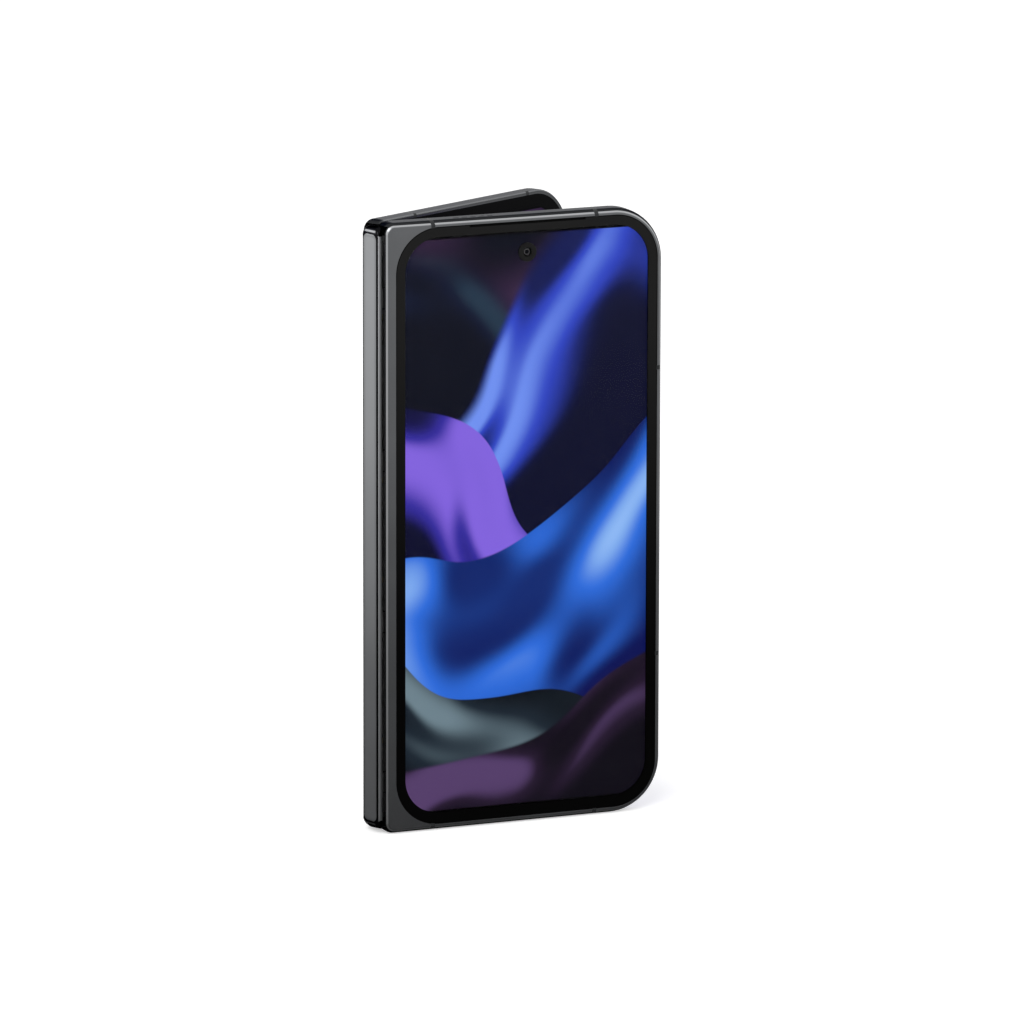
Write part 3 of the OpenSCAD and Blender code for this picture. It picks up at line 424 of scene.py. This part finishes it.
def coil(name, half, x, y, low, high, radius, wire, turns, steps=14, sides=7):
    """A wire wound round an upright line from low to high, with flat closed ends."""
    mesh = bmesh.new()
    rings = []
    for i in range(turns * steps + 1):
        t = i / (turns * steps)
        angle = 2 * math.pi * turns * t
        middle = low + (high - low) * min(max((t - CLOSED) / (1 - 2 * CLOSED), 0), 1)
        ring = []
        for k in range(sides):
            a = 2 * math.pi * k / sides
            r = radius + wire * math.cos(a)
            ring.append(mesh.verts.new(in_part(half, x + r * math.cos(angle),
                                               y + r * math.sin(angle),
                                               middle + wire * math.sin(a))))
        rings.append(ring)
    skinned(mesh, rings)
    return finish_mesh(name, mesh)


spring_wire = machined("spring_wire", "spine", (0.5, 0.5, 0.51), (0.62, 0.62, 0.63), 0.24)
for number, (base_end, way) in enumerate(BASE_ENDS):
    low, high = sorted(base_end + way * reach for reach in SPRING_SPAN)
    for letter, side in (("a", -1), ("b", 1)):
        spring = coil(f"hinge_spring_{number}_{letter}", "spine", ROD_X, side * ROD_Y, low, high,
                      SPRING_RADIUS, SPRING_WIRE, SPRING_TURNS)
        spring.data.materials.append(spring_wire)
        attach(spring, "spine")
        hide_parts("hinge_springs")

# ---------- Inside the halves ----------
# Pouch cells in foil, circuit boards under drawn steel cans, the charging coil, speakers,
# motor and magnets. Screws and a spot of glue hold them in the frames' wells.

dress_halves(for_halves(moulded_plastic, "cell_foil", (0.03, 0.03, 0.034), 0.36, 1.2), "battery")
module_black = for_halves(moulded_plastic, "module_black", (0.025, 0.025, 0.027), 0.5)
dress_halves(module_black, "speaker")
dress(module_black["rear"], "inner_camera")
can_steel = for_halves(machined, "can_steel", (0.5, 0.5, 0.51), (0.62, 0.62, 0.63), 0.3)
dress_halves(can_steel, "magnets")
dress_halves(can_steel, "screws")
dress(can_steel["front"], "vibration_motor", "sim_reader")
dress(can_steel["rear"], "shield_cans", "power_switch", "volume_switches", "usb_port")
dress(machined("gold_plate", "rear", (0.6, 0.46, 0.2), (0.7, 0.56, 0.28), 0.3), "microphone")


def circuit_board(name, half):
    """Solder mask over copper: straight tracks, with round pads among them."""
    material, tree, shader = new_material(name)
    point = half_point(tree, half)
    flat = add(tree, "Mapping", {"Vector": point, "Rotation": (math.radians(90), 0, 0)})
    tracks = add(tree, "TexBrick", {"Vector": flat.outputs[0], "Scale": 0.8, "Mortar Size": 0.05,
                                    "Brick Width": 1.7, "Row Height": 0.5}).outputs["Fac"]
    pads = add(tree, "TexVoronoi", {"Vector": point, "Scale": 0.7}).outputs["Distance"]
    copper = calc(tree, "MAXIMUM", calc(tree, "MULTIPLY", tracks, 0.5),
                  ramp(tree, pads, 0.16, 0.12))
    paint(tree, shader, mix_colour(tree, copper, (0.006, 0.045, 0.022), (0.03, 0.12, 0.06)),
          calc(tree, "MULTIPLY_ADD", copper, -0.15, 0.4), copper, 0.3, 0.03)
    return material


boards = for_halves(circuit_board, "board")
dress(boards["front"], "front_board")
dress(boards["rear"], "main_board")

# The charging coil, wound flat from copper wire
COIL_AT = (HALF_MIDDLE, 72.0)
STRAND = 0.9                            # from one turn to the next


def axis_distance(tree, point, centre):
    """How far the point lies from a line along the depth through centre, an x and a z."""
    flat = add(tree, "VectorMath", {0: point, 1: (1, 0, 1)}, operation="MULTIPLY").outputs[0]
    return add(tree, "VectorMath", {0: flat, 1: (centre[0], 0, centre[1])},
               operation="DISTANCE").outputs["Value"]


coil_wire, tree, shader = new_material("wound_copper", Metallic=1.0)
reach = axis_distance(tree, half_point(tree, "rear"), COIL_AT)
strand_relief_and_shade = calc(tree, "SINE", calc(tree, "MULTIPLY", reach, 2 * math.pi / STRAND))
# Painted shade: the copper is darker in the grooves between the turns.
paint(tree, shader,
      mix_colour(tree, ramp(tree, strand_relief_and_shade, -1, 0), (0.12, 0.05, 0.02), (0.55, 0.26, 0.13)),
      ramp(tree, strand_relief_and_shade, 1.5, -2.0), strand_relief_and_shade, 0.6, 0.1)
dress(coil_wire, "charging_coil")

# The port's tongue: black moulding with a row of gold contacts on both faces
tongue, tree, shader = new_material("port_tongue", Roughness=0.38)
place = add(tree, "SeparateXYZ", {0: half_point(tree, "rear")}).outputs
comb = calc(tree, "PINGPONG", calc(tree, "SUBTRACT", place[0], HALF_MIDDLE), 0.25)
contact = calc(tree, "MULTIPLY", ramp(tree, comb, 0.1, 0.13),
               band(tree, place[2], 1.7, 1.75, 5.95, 6.0))
gilt = mix_colour(tree, contact, (0.012, 0.012, 0.013), (0.65, 0.48, 0.2))
connect(tree, shader, {"Base Color": gilt, "Metallic": contact})
dress(tongue, "usb_tongue")

# ---------- Displays ----------
# Two lit panels: a flat one under the cover glass, and one that runs over both halves and
# bends at the hinge. They show the same picture of smooth folds, made for this model.


def srgb(red, green, blue):
    """An sRGB colour of 0 to 255 as the linear one that a socket takes."""
    return tuple(((part / 255 + 0.055) / 1.055) ** 2.4 if part > 10 else part / 3294.6
                 for part in (red, green, blue))


# One fold of silk that hangs from a waving line, over what lies behind it
wave_group, given, result = new_group(
    "silk_wave",
    {"Vector": ["Point"], "Color": ["Behind", "Crest", "Face", "Hollow"],
     "Float": ["Height", "Slope", "Swing", "Length", "Start", "Fall", "Soft"]},
    {"Color": ["Color"]})
tree = wave_group
place = add(tree, "SeparateXYZ", {0: given["Point"]}).outputs
x, z = place[0], place[2]
waves_along = calc(tree, "ADD", calc(tree, "DIVIDE", x, given["Length"]), given["Start"])
sway = calc(tree, "SINE", calc(tree, "MULTIPLY", waves_along, 2 * math.pi))
line = calc(tree, "MULTIPLY_ADD", x, given["Slope"], given["Height"])
line = calc(tree, "MULTIPLY_ADD", sway, given["Swing"], line)
under = calc(tree, "SUBTRACT", line, z)
along = add(tree, "CombineXYZ", {0: calc(tree, "MULTIPLY", x, 0.022),
                                 1: calc(tree, "MULTIPLY", under, 0.035), 2: given["Height"]})
along = along.outputs[0]
sheen = add(tree, "TexNoise", {"Vector": along, "Scale": 1.0, "Detail": 0.5}).outputs[0]
patch = add(tree, "TexNoise", {"Vector": along, "Scale": 1.7, "Detail": 0.0}).outputs[0]
down = calc(tree, "DIVIDE", under, given["Fall"])
down = calc(tree, "MULTIPLY_ADD", calc(tree, "SUBTRACT", sheen, 0.5), 0.9, down)
lit_patch = calc(tree, "MULTIPLY_ADD", ramp(tree, patch, 0.26, 0.62), 0.88, 0.12)
light = calc(tree, "MULTIPLY", band(tree, down, -0.25, 0.22, 0.25, 0.95), lit_patch)
rim_patch = calc(tree, "MULTIPLY", ramp(tree, patch, 0.42, 0.6), 0.55)
rim = calc(tree, "MULTIPLY", band(tree, under, 0.0, 0.6, 0.6, 2.6), rim_patch)
light = calc(tree, "MAXIMUM", light, rim)
body = mix_colour(tree, ramp(tree, light, 0.0, 0.55), given["Hollow"], given["Face"])
body = mix_colour(tree, ramp(tree, light, 0.45, 1.0), body, given["Crest"])
edge = ramp(tree, under, 0.0, given["Soft"])
tree.links.new(mix_colour(tree, edge, given["Behind"], body), result["Color"])

# The picture: a faint glow with six such folds over it, all bent by one slow noise
picture_group, given, result = new_group("wallpaper", {"Vector": ["Point"]},
                                         {"Color": ["Color"]})
tree = picture_group
bend = add(tree, "TexNoise", {"Vector": given["Point"], "Scale": 0.016, "Detail": 1.0})
bend = add(tree, "VectorMath", {0: bend.outputs["Color"], 1: (0.5, 0.5, 0.5)},
           operation="SUBTRACT")
bend = add(tree, "VectorMath", {0: bend.outputs[0], "Scale": 34.0}, operation="SCALE")
bent = add(tree, "VectorMath", {0: given["Point"], 1: bend.outputs[0]}, operation="ADD").outputs[0]
glow = add(tree, "TexNoise", {"Vector": bent, "Scale": 0.02, "Detail": 0.0}).outputs[0]
picture = mix_colour(tree, ramp(tree, glow, 0.45, 0.75), srgb(5, 7, 20), srgb(60, 40, 72))
folds = [
    # height, slope, swing, length, start, fall, softness, crest, face, hollow
    (150, -0.45, 8, 95, 0.10, 34, 12.0, (34, 52, 70), (14, 20, 42), (6, 8, 22)),
    (104, 0.80, 9, 96, 0.62, 52, 6.0, (108, 140, 232), (46, 66, 186), (8, 10, 38)),
    (112, -0.85, 7, 84, 0.05, 50, 0.6, (126, 96, 214), (50, 42, 150), (8, 9, 40)),
    (58, 0.62, 8, 88, 0.32, 56, 0.6, (146, 188, 240), (44, 104, 212), (8, 16, 80)),
    (52, -0.48, 7, 92, 0.66, 44, 0.5, (106, 126, 136), (26, 36, 46), (6, 9, 14)),
    (10, 0.50, 5, 70, 0.20, 32, 1.5, (82, 60, 102), (34, 22, 42), (10, 7, 16)),
]
for height, slope, swing, length, start, fall, soft, crest, face, hollow in folds:
    picture = use(tree, wave_group, {
        "Behind": picture, "Point": bent, "Height": height, "Slope": slope, "Swing": swing,
        "Length": length, "Start": start, "Fall": fall, "Soft": soft, "Crest": srgb(*crest),
        "Face": srgb(*face), "Hollow": srgb(*hollow)})[0]
tree.links.new(picture, result["Color"])

LIT_UP = 72.6                           # the picture's top and bottom, from the middle height


def lit_panel(name, point_on, scale=1.0, shift=(0, 0, 0), lit_face=None):
    """A display. It shows the picture at the point that point_on(tree) gives, times scale and
    then moved by shift. lit_face is the depth range of its lit face, where its other faces
    have to stay dark."""
    material, tree, shader = new_material(name, Roughness=0.6, Emission_Strength=1.05,
                                          Specular_IOR_Level=0.02)
    point = point_on(tree)
    place = add(tree, "Mapping", {"Vector": point, "Location": shift, "Scale": (scale, 1, scale)})
    shown = use(tree, picture_group, {"Point": place.outputs[0]})[0]
    depth, up = add(tree, "SeparateXYZ", {0: point}).outputs[1:]
    if lit_face:
        low, high = lit_face
        face = band(tree, depth, low - 0.02, low, high, high + 0.02)
        shown = mix_colour(tree, face, (0, 0, 0), shown)
    from_middle = calc(tree, "ABSOLUTE", calc(tree, "SUBTRACT", up, MIDDLE_HEIGHT))
    lit = ramp(tree, from_middle, LIT_UP + 0.1, LIT_UP)
    shown = mix_colour(tree, lit, (0, 0, 0), shown)
    dark = mix_colour(tree, 0.02, (0.004, 0.004, 0.005), shown)
    connect(tree, shader, {"Emission Color": shown, "Base Color": dark})
    return material


dress(lit_panel("cover_screen", lambda tree: half_point(tree, "front"), lit_face=(4.6, 4.64)),
      "cover_display")

INNER_PICTURE = {"scale": 0.8, "shift": (-31, 0, 54)}


def laid_flat(half, side):
    """The inner display's own measure: across from the hinge line, laid flat, and up."""
    def point_on(tree):
        return add(tree, "Mapping", {
            "Vector": half_point(tree, half), "Location": (side * (AXIS_OUT + AXIS_OFF), 0, 0),
            "Scale": (side, 1, 1)}).outputs[0]
    return point_on


for half, side in (("front", -1), ("rear", 1)):
    dress(lit_panel("inner_screen_" + half, laid_flat(half, side), lit_face=(0.4, 0.44),
                    **INNER_PICTURE), half + "_inner_panel")

# The folding zone, in strips across the fold, each bent as the display's own bend gives it.
FOLD_WIDTH = 4.0                        # of the zone, on each side of the centre line
PANEL_FACE, PANEL_BACK = 0.28, 0.58
PANEL_BOTTOM, PANEL_TOP = 3.6, 151.6
STRIPS, STEPS = 5, 4


def folded(u, depth):
    """A point of the folding zone, u from the centre line, in the spine's millimetres."""
    t = min(u / FOLD_WIDTH, 1)
    turn = (math.pi / 2 - FOLD_OPEN) * t * t * (3 - 2 * t)
    spot = complex(AXIS_OUT - depth, u - AXIS_OFF) * cmath.exp(-1j * turn)
    return spot.real - AXIS_OUT, spot.imag + AXIS_OFF


def across_fold(tree):
    """The strips' own laid-flat measure, in millimetres, with its height upright."""
    point = add(tree, "UVMap", uv_map="laid_flat").outputs[0]
    return add(tree, "Mapping", {"Vector": point, "Rotation": (math.radians(90), 0, 0),
                                 "Scale": (1 / MM, 1 / MM, 1)}).outputs[0]


fold_screen = lit_panel("inner_screen_fold", across_fold, **INNER_PICTURE)
fold_backing = moulded_plastic("fold_backing", "spine", (0.012, 0.012, 0.013), 0.5)
for side, half in ((-1, "front_half"), (1, "rear_half")):
    for number in range(STRIPS):
        first, last = FOLD_WIDTH * number / STRIPS, FOLD_WIDTH * (number + 1) / STRIPS
        mesh = bmesh.new()
        flat = mesh.loops.layers.uv.new("laid_flat")
        rows = []
        for step in range(STEPS + 1):
            u = first + (last - first) * step / STEPS
            row = []
            for depth, z in ((PANEL_FACE, PANEL_BOTTOM), (PANEL_FACE, PANEL_TOP),
                             (PANEL_BACK, PANEL_TOP), (PANEL_BACK, PANEL_BOTTOM)):
                x, y = folded(u, depth)
                vertex = mesh.verts.new(in_part("spine", x, side * y, z))
                row.append((vertex, (side * u * MM, z * MM)))
            rows.append(row)
        for one, two in zip(rows, rows[1:]):
            for k in range(4):
                n = (k + 1) % 4
                ring = [one[k], one[n], two[n], two[k]]
                face = mesh.faces.new([vertex for vertex, spot in ring])
                face.material_index = 0 if k == 0 else 1
                for loop, (vertex, spot) in zip(face.loops, ring):
                    loop[flat].uv = spot
        bmesh.ops.recalc_face_normals(mesh, faces=mesh.faces)
        strip = finish_mesh(f"fold_strip_{half}_{number}", mesh)
        strip.data.materials.append(fold_screen)
        strip.data.materials.append(fold_backing)
        # Where the strip starts and which way it runs, so that a share along it runs as u does,
        # from 0 at the centre line to 1
        x0, y0 = folded(first, PANEL_FACE)
        x1, y1 = folded(last, PANEL_FACE)
        here = in_part("spine", x0, side * y0, MIDDLE_HEIGHT)
        way = in_part("spine", x1, side * y1, MIDDLE_HEIGHT) - here
        way *= FOLD_WIDTH / (last - first)
        start = here - way * (first / FOLD_WIDTH)
        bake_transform(strip)
        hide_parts("fold_display")

# ---------- Inner bezel ----------
# A thin black moulding glued round the inner display on each half. It stands a little
# proud, with a fine raised rim, so that the two halves never touch display to display.

dress_halves(for_halves(moulded_plastic, "bezel", (0.002, 0.002, 0.0022), 0.3, gloss=0.02),
             "inner_bezel")

# ---------- Cover glass ----------
# Toughened glass, polished, with black ink printed on its back face round the display and
# round the camera's hole. A slot in its top edge lets the earpiece's sound out.

WINDOW_EDGE = (4.15, 70.05, 4.6, 151.0, 9.0, 9.0)
PUNCH_HOLE_EDGE = (34.75, 39.55, 143.3, 148.1, 2.4, 2.4)


def printed_glass(name, half, clear_mask):
    """Glass that is clear where clear_mask(tree, point) is 1 and printed black elsewhere."""
    material, tree, shader = new_material(name, IOR=1.08, Transmission_Weight=1.0, Metallic=0.0,
                                          Roughness=0.0, Coat_Roughness=0.04, Coat_IOR=1.3)
    point = half_point(tree, half)
    clear = clear_mask(tree, point)
    handled = add(tree, "TexNoise", {"Vector": point, "Scale": 0.05, "Detail": 3.0}).outputs[0]
    gloss = calc(tree, "MULTIPLY_ADD", handled, -0.15, 0.85)
    connect(tree, shader, {
        "Base Color": mix_colour(tree, clear, (0, 0, 0), (1, 1, 1)),
        "Coat Weight": calc(tree, "MULTIPLY", gloss, calc(tree, "SUBTRACT", 1.0, clear))})
    return material


def cover_window(tree, point):
    """Clear over the lit picture, black in a ring round the camera, clear over its lens."""
    window = inside_by(tree, point, *WINDOW_EDGE)
    hole = inside_by(tree, point, *PUNCH_HOLE_EDGE)
    around = calc(tree, "MULTIPLY", ramp(tree, window, -0.05, 0.05), ramp(tree, hole, 0.05, -0.05))
    return calc(tree, "MAXIMUM", around, ramp(tree, hole, 1.2, 1.25))


dress(printed_glass("cover_glass_printed", "front", cover_window), "cover_glass")

# The earpiece's slot is closed by a fine black cloth
mesh_cloth, tree, shader = new_material("earpiece_mesh", Specular_IOR_Level=0.05)
holes = add(tree, "TexVoronoi", {"Vector": half_point(tree, "front"), "Scale": 5.0})
holes = holes.outputs["Distance"]
paint(tree, shader,
      mix_colour(tree, ramp(tree, holes, 0.2, 0.5), (0.0, 0.0, 0.0), (0.003, 0.003, 0.003)),
      0.7, holes, 0.4, 0.05)
dress(mesh_cloth, "earpiece_mesh")

# ---------- Cameras ----------
# Each camera is a black housing with a turned barrel: a retaining ring, a stack of coated
# lenses behind it and a small pupil. The windows over them are glass with a printed ring.


def turned(name, half, centre, profile, sides=48):
    """A body turned about the depth axis; profile is (radius, depth) from edge to middle."""
    mesh = bmesh.new()
    rings = []
    for radius, depth in profile:
        angles = [2 * math.pi * k / sides for k in range(sides if radius else 1)]
        rings.append([mesh.verts.new(in_part(half, centre[0] + radius * math.cos(angle), depth,
                                             centre[1] + radius * math.sin(angle)))
                      for angle in angles])
    for one, two in zip(rings, rings[1:]):
        for k in range(sides):
            n = (k + 1) % sides
            if len(two) == 1:
                mesh.faces.new((one[k], one[n], two[0]))
            else:
                mesh.faces.new((one[k], one[n], two[n], two[k]))
    bmesh.ops.recalc_face_normals(mesh, faces=mesh.faces)
    return finish_mesh(name, mesh)


def ringed(name, half, centre, bands, rough, gloss=0.5):
    """Colour in rings: bands lists (radius, colour), from the middle outwards."""
    material, tree, shader = new_material(name, Specular_IOR_Level=gloss)
    reach = axis_distance(tree, half_point(tree, half), centre)
    shade = bands[0][1]
    for radius, ring_shade in bands[1:]:
        shade = mix_colour(tree, ramp(tree, reach, radius - 0.03, radius + 0.03), shade, ring_shade)
    dust = add(tree, "TexNoise", {"Scale": 900.0, "Detail": 2.0}).outputs[0]
    connect(tree, shader, {"Base Color": shade,
                           "Roughness": calc(tree, "MULTIPLY_ADD", dust, 0.06, rough)})
    return material


# The lens has no shine of its own: its bluish middle is a painted glint, and the light ring at 0.6
# mm is a painted highlight.
COVER_CAMERA_AT = (37.15, 145.7)
dress(ringed("cover_camera_rings", "front", COVER_CAMERA_AT, [
    (0, (0.05, 0.05, 0.08)), (0.12, (0.001, 0.001, 0.002)), (0.45, (0.002, 0.002, 0.003)),
    (0.6, (0.2, 0.2, 0.21)), (0.72, (0.004, 0.004, 0.005))], 0.3, gloss=0.0), "cover_camera")

LENSES = [                              # centre, radius of the barrel, half the housing's width
    ("wide_camera", (40.95, 141.5), 3.6, 4.6),
    ("main_camera", (40.95, 121.9), 4.2, 5.4),
    ("tele_camera", (60.55, 131.7), 3.6, 5.0),
]
HOUSING_LOW, HOUSING_HIGH, HOUSING_CHAMFER = 1.48, 4.5, 0.15
CORNER_INSET, CORNER_RADIUS = 0.6, 0.58
DOME_BASE, DOME_RISE, DOME_INSET = 5.18, 0.36, 1.0
# The barrel from its edge to its middle: how far in from its radius, and the depth
BARREL_STEPS = [(0.02, 4.45), (0.02, 5.6), (0.2, 5.8), (0.75, 5.8), (0.85, 5.7), (0.85, 5.5),
                (1.0, 5.45), (1.1, 5.2), (1.4, 5.15), (1.5, 4.9), (1.8, 4.85), (1.9, 4.6)]
PUPIL = [(0.6, 4.55), (0.6, 4.46), (0, 4.46)]
for name, (x, z), radius, body in LENSES:
    outline = []
    for quarter, (cx, cz) in enumerate([(-1, -1), (1, -1), (1, 1), (-1, 1)]):
        for k in range(5):
            angle = math.pi / 2 * (quarter - 2) + math.pi / 8 * k
            outline.append((cx * (body - CORNER_INSET) + CORNER_RADIUS * math.cos(angle),
                            cz * (body - CORNER_INSET) + CORNER_RADIUS * math.sin(angle)))
    mesh = bmesh.new()
    rings = []
    for depth, inset in ((HOUSING_LOW, HOUSING_CHAMFER), (HOUSING_LOW + HOUSING_CHAMFER, 0),
                         (HOUSING_HIGH - HOUSING_CHAMFER, 0), (HOUSING_HIGH, HOUSING_CHAMFER)):
        shrink = 1 - inset / body
        rings.append([mesh.verts.new(in_part("rear", x + dx * shrink, depth, z + dz * shrink))
                      for dx, dz in outline])
    skinned(mesh, rings)
    box = finish_mesh(name + "_housing", mesh, smooth=False)
    box.data.materials.append(module_black["rear"])
    barrel = turned(name + "_barrel", "rear", (x, z),
                    [(radius - inset, depth) for inset, depth in BARREL_STEPS] + PUPIL)
    barrel.data.materials.append(ringed(name + "_rings", "rear", (x, z), [
        (0, (0.001, 0.001, 0.002)), (0.75, (0.012, 0.012, 0.014)),
        (radius - 1.75, (0.03, 0.03, 0.034)), (radius - 1.35, (0.014, 0.014, 0.016)),
        (radius - 1.05, (0.05, 0.05, 0.054)), (radius - 0.8, (0.018, 0.018, 0.02))], 0.28))
    arc = [math.pi / 2 * step / 10 for step in range(10, 0, -1)]
    lens = turned(name + "_front_lens", "rear", (x, z), [
        *(((radius - DOME_INSET) * math.sin(angle), DOME_BASE + DOME_RISE * math.cos(angle))
          for angle in arc), (0, DOME_BASE + DOME_RISE)])
    lens_coat, tree, shader = new_material(name + "_lens_coat", IOR=1.5, Transmission_Weight=1.0,
                                           Metallic=0.0)
    tint = add(tree, "TexNoise", {"Vector": half_point(tree, "rear"), "Scale": 0.12}).outputs[0]
    coat = mix_colour(tree, ramp(tree, tint, 0.3, 0.7), (0.55, 0.6, 0.85), (0.72, 0.6, 0.85))
    connect(tree, shader, {"Base Color": coat, "Roughness": calc(tree, "MULTIPLY", tint, 0.03)})
    lens.data.materials.append(lens_coat)
    for piece, finish in ((box, "camera_body"), (barrel, "camera_body"), (lens, "lens_glass")):
        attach(piece, "rear_half")
        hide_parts(name)


def lens_windows(tree, point):
    """Clear over each of the three barrels."""
    clear = 0.0
    for name, (x, z), radius, body in LENSES:
        disc = inside_by(tree, point, x - radius, x + radius, z - radius, z + radius,
                         radius, radius)
        clear = calc(tree, "MAXIMUM", clear, ramp(tree, disc, 0.0, 0.05))
    return clear


dress(printed_glass("camera_window_glass", "rear", lens_windows), "camera_windows")

# ---------- Back cover and camera island ----------
# The back is a sheet of glass, etched to a dark satin that holds no fingerprints, with the
# cameras in a raised metal island. The flash sits under a moulded lens of fine rings.

ISLAND_EDGE = (31.75, 69.75, 112.7, 150.7, 9.0, 9.0)
FLASH_AT = (63.75, 145.5)

etched, tree, shader = new_material("etched_glass", IOR=1.45)
etch = use(tree, grain_group, {"Point": half_point(tree, "rear"), "Grain": 8.0})
paint(tree, shader, mix_colour(tree, ramp(tree, etch["Shade"], 0.3, 0.7),
                               (0.012, 0.0125, 0.0135), (0.018, 0.0185, 0.02)),
      calc(tree, "MULTIPLY_ADD", etch["Shade"], 0.12, 0.3), etch["Height"], 0.1, 0.01)
dress(etched, "rear_glass")


def island_cuts(tree, point):
    """The island's polished rim."""
    edge = inside_by(tree, point, *ISLAND_EDGE)
    depth = add(tree, "SeparateXYZ", {0: point}).outputs[1]
    rim = calc(tree, "MULTIPLY", ramp(tree, edge, 0.5, 0.4), ramp(tree, depth, 6.2, 6.35))
    return [(rim, (0.4, 0.41, 0.42), 0.2)]


dress(blasted_metal("island_metal", "rear", (0.1, 0.103, 0.108), (0.125, 0.129, 0.135), 0.3,
                    island_cuts), "camera_island")

flash_lens, tree, shader = new_material("flash_lens", IOR=1.5)
reach = axis_distance(tree, half_point(tree, "rear"), FLASH_AT)
paint(tree, shader,
      mix_colour(tree, ramp(tree, reach, 0.8, 1.3), (0.75, 0.55, 0.12), (0.72, 0.72, 0.68)),
      0.18, calc(tree, "PINGPONG", reach, 0.17), 0.8, 0.1)
dress(flash_lens, "flash")

# ---------- Buttons and card tray ----------
# The power button and the volume rocker are milled from the same metal as the rails and
# anodised with them. The card tray's face is flush with the rail and has a pin hole.

key_metal = blasted_metal("graphite_keys", "rear", (0.15, 0.154, 0.16), (0.175, 0.18, 0.187), 0.26)
dress(key_metal, "power_button", "volume_rocker")
tray_metal = blasted_metal("graphite_tray", "front", (0.13, 0.134, 0.14), (0.155, 0.16, 0.167),
                           0.34)
dress(tray_metal, "sim_tray")

# ---------- Table ----------
# A pale table top under the phone. Seen straight it is white but for the phone's shadow;
# seen in the metal and glass it darkens close to the phone, as over a dark mat.

bpy.ops.mesh.primitive_plane_add(size=14, location=(0, 0, -0.00005))
table = bpy.context.object
table.name = "table_top"
table_white = bpy.data.materials.new("table_white")
table_white.use_nodes = True
tree = table_white.node_tree
tree.nodes.clear()
ray = add(tree, "LightPath").outputs
where = add(tree, "TexCoord").outputs["Object"]
away = add(tree, "VectorMath", {0: where}, operation="LENGTH").outputs["Value"]
lit = add(tree, "BsdfDiffuse", {"Color": (0.82, 0.82, 0.82)})
lift = add(tree, "Emission", {"Color": (1, 1, 1),
                              "Strength": calc(tree, "MULTIPLY", ray["Is Camera Ray"], 0.45)})
plain = add(tree, "AddShader", {0: lit.outputs[0], 1: lift.outputs[0]})
in_metal = calc(tree, "MULTIPLY_ADD", ramp(tree, away, 0.12, 0.85), 0.88, 0.12)
mirrored = add(tree, "Emission", {"Color": (1, 1, 1), "Strength": in_metal})
either = add(tree, "MixShader", {0: ray["Is Glossy Ray"], 1: plain.outputs[0],
                                 2: mirrored.outputs[0]})
add(tree, "OutputMaterial", {"Surface": either.outputs[0]})
table.data.materials.append(table_white)

# ---------- Studio ----------
# White all round, at full strength where it is seen and softer as a light. One large soft
# lamp at the upper left, and a weaker one at the right and behind on the left.

world = bpy.data.worlds.new("studio_white")
scene.world = world
world.use_nodes = True
tree = world.node_tree
ray = add(tree, "LightPath").outputs
seen = calc(tree, "MAXIMUM", ray["Is Camera Ray"], ray["Is Glossy Ray"])
seen = calc(tree, "MAXIMUM", seen, ray["Is Transmission Ray"])
connect(tree, tree.nodes["Background"].inputs, {
    "Color": (1, 1, 1), "Strength": calc(tree, "MULTIPLY_ADD", seen, 0.38, 0.62)})

PHONE_MIDDLE = Vector((-0.0032, -0.0025, 0.0797))


def soft_lamp(name, spot, size, power):
    """A rectangular lamp that faces the phone."""
    lamp = bpy.data.objects.new(name, bpy.data.lights.new(name, "AREA"))
    lamp.data.shape = "RECTANGLE"
    lamp.data.size, lamp.data.size_y = size
    lamp.data.energy = power
    lamp.location = spot
    lamp.rotation_euler = (PHONE_MIDDLE - Vector(spot)).to_track_quat("-Z", "Y").to_euler()
    scene.collection.objects.link(lamp)


soft_lamp("lamp_upper_left", (-1.1, -1.3, 1.5), (1.2, 1.2), 22)
soft_lamp("lamp_right", (1.6, -0.9, 0.9), (0.9, 1.2), 8)
soft_lamp("lamp_back_left", (-1.4, 1.2, 0.7), (0.8, 0.9), 8)

# ---------- Camera ----------
# Fitted to the photograph's edges: far off with a long lens, from the left and a little
# above, and rolled by an eighth of a degree.

camera = bpy.data.objects.new("camera", bpy.data.cameras.new("camera"))
camera.data.lens = 317.3
camera.data.sensor_width = 36
camera.data.clip_start, camera.data.clip_end = 0.05, 30
camera.location = (-0.87795, -2.03717, 0.52764)
looking = Vector((0.38709, 0.9005, -0.19814)).to_track_quat("-Z", "Y")
roll = Quaternion((0, 0, 1), math.radians(0.127))
camera.rotation_euler = (looking @ roll).to_euler()
scene.collection.objects.link(camera)
scene.camera = camera
scene.view_settings.view_transform = "Standard"
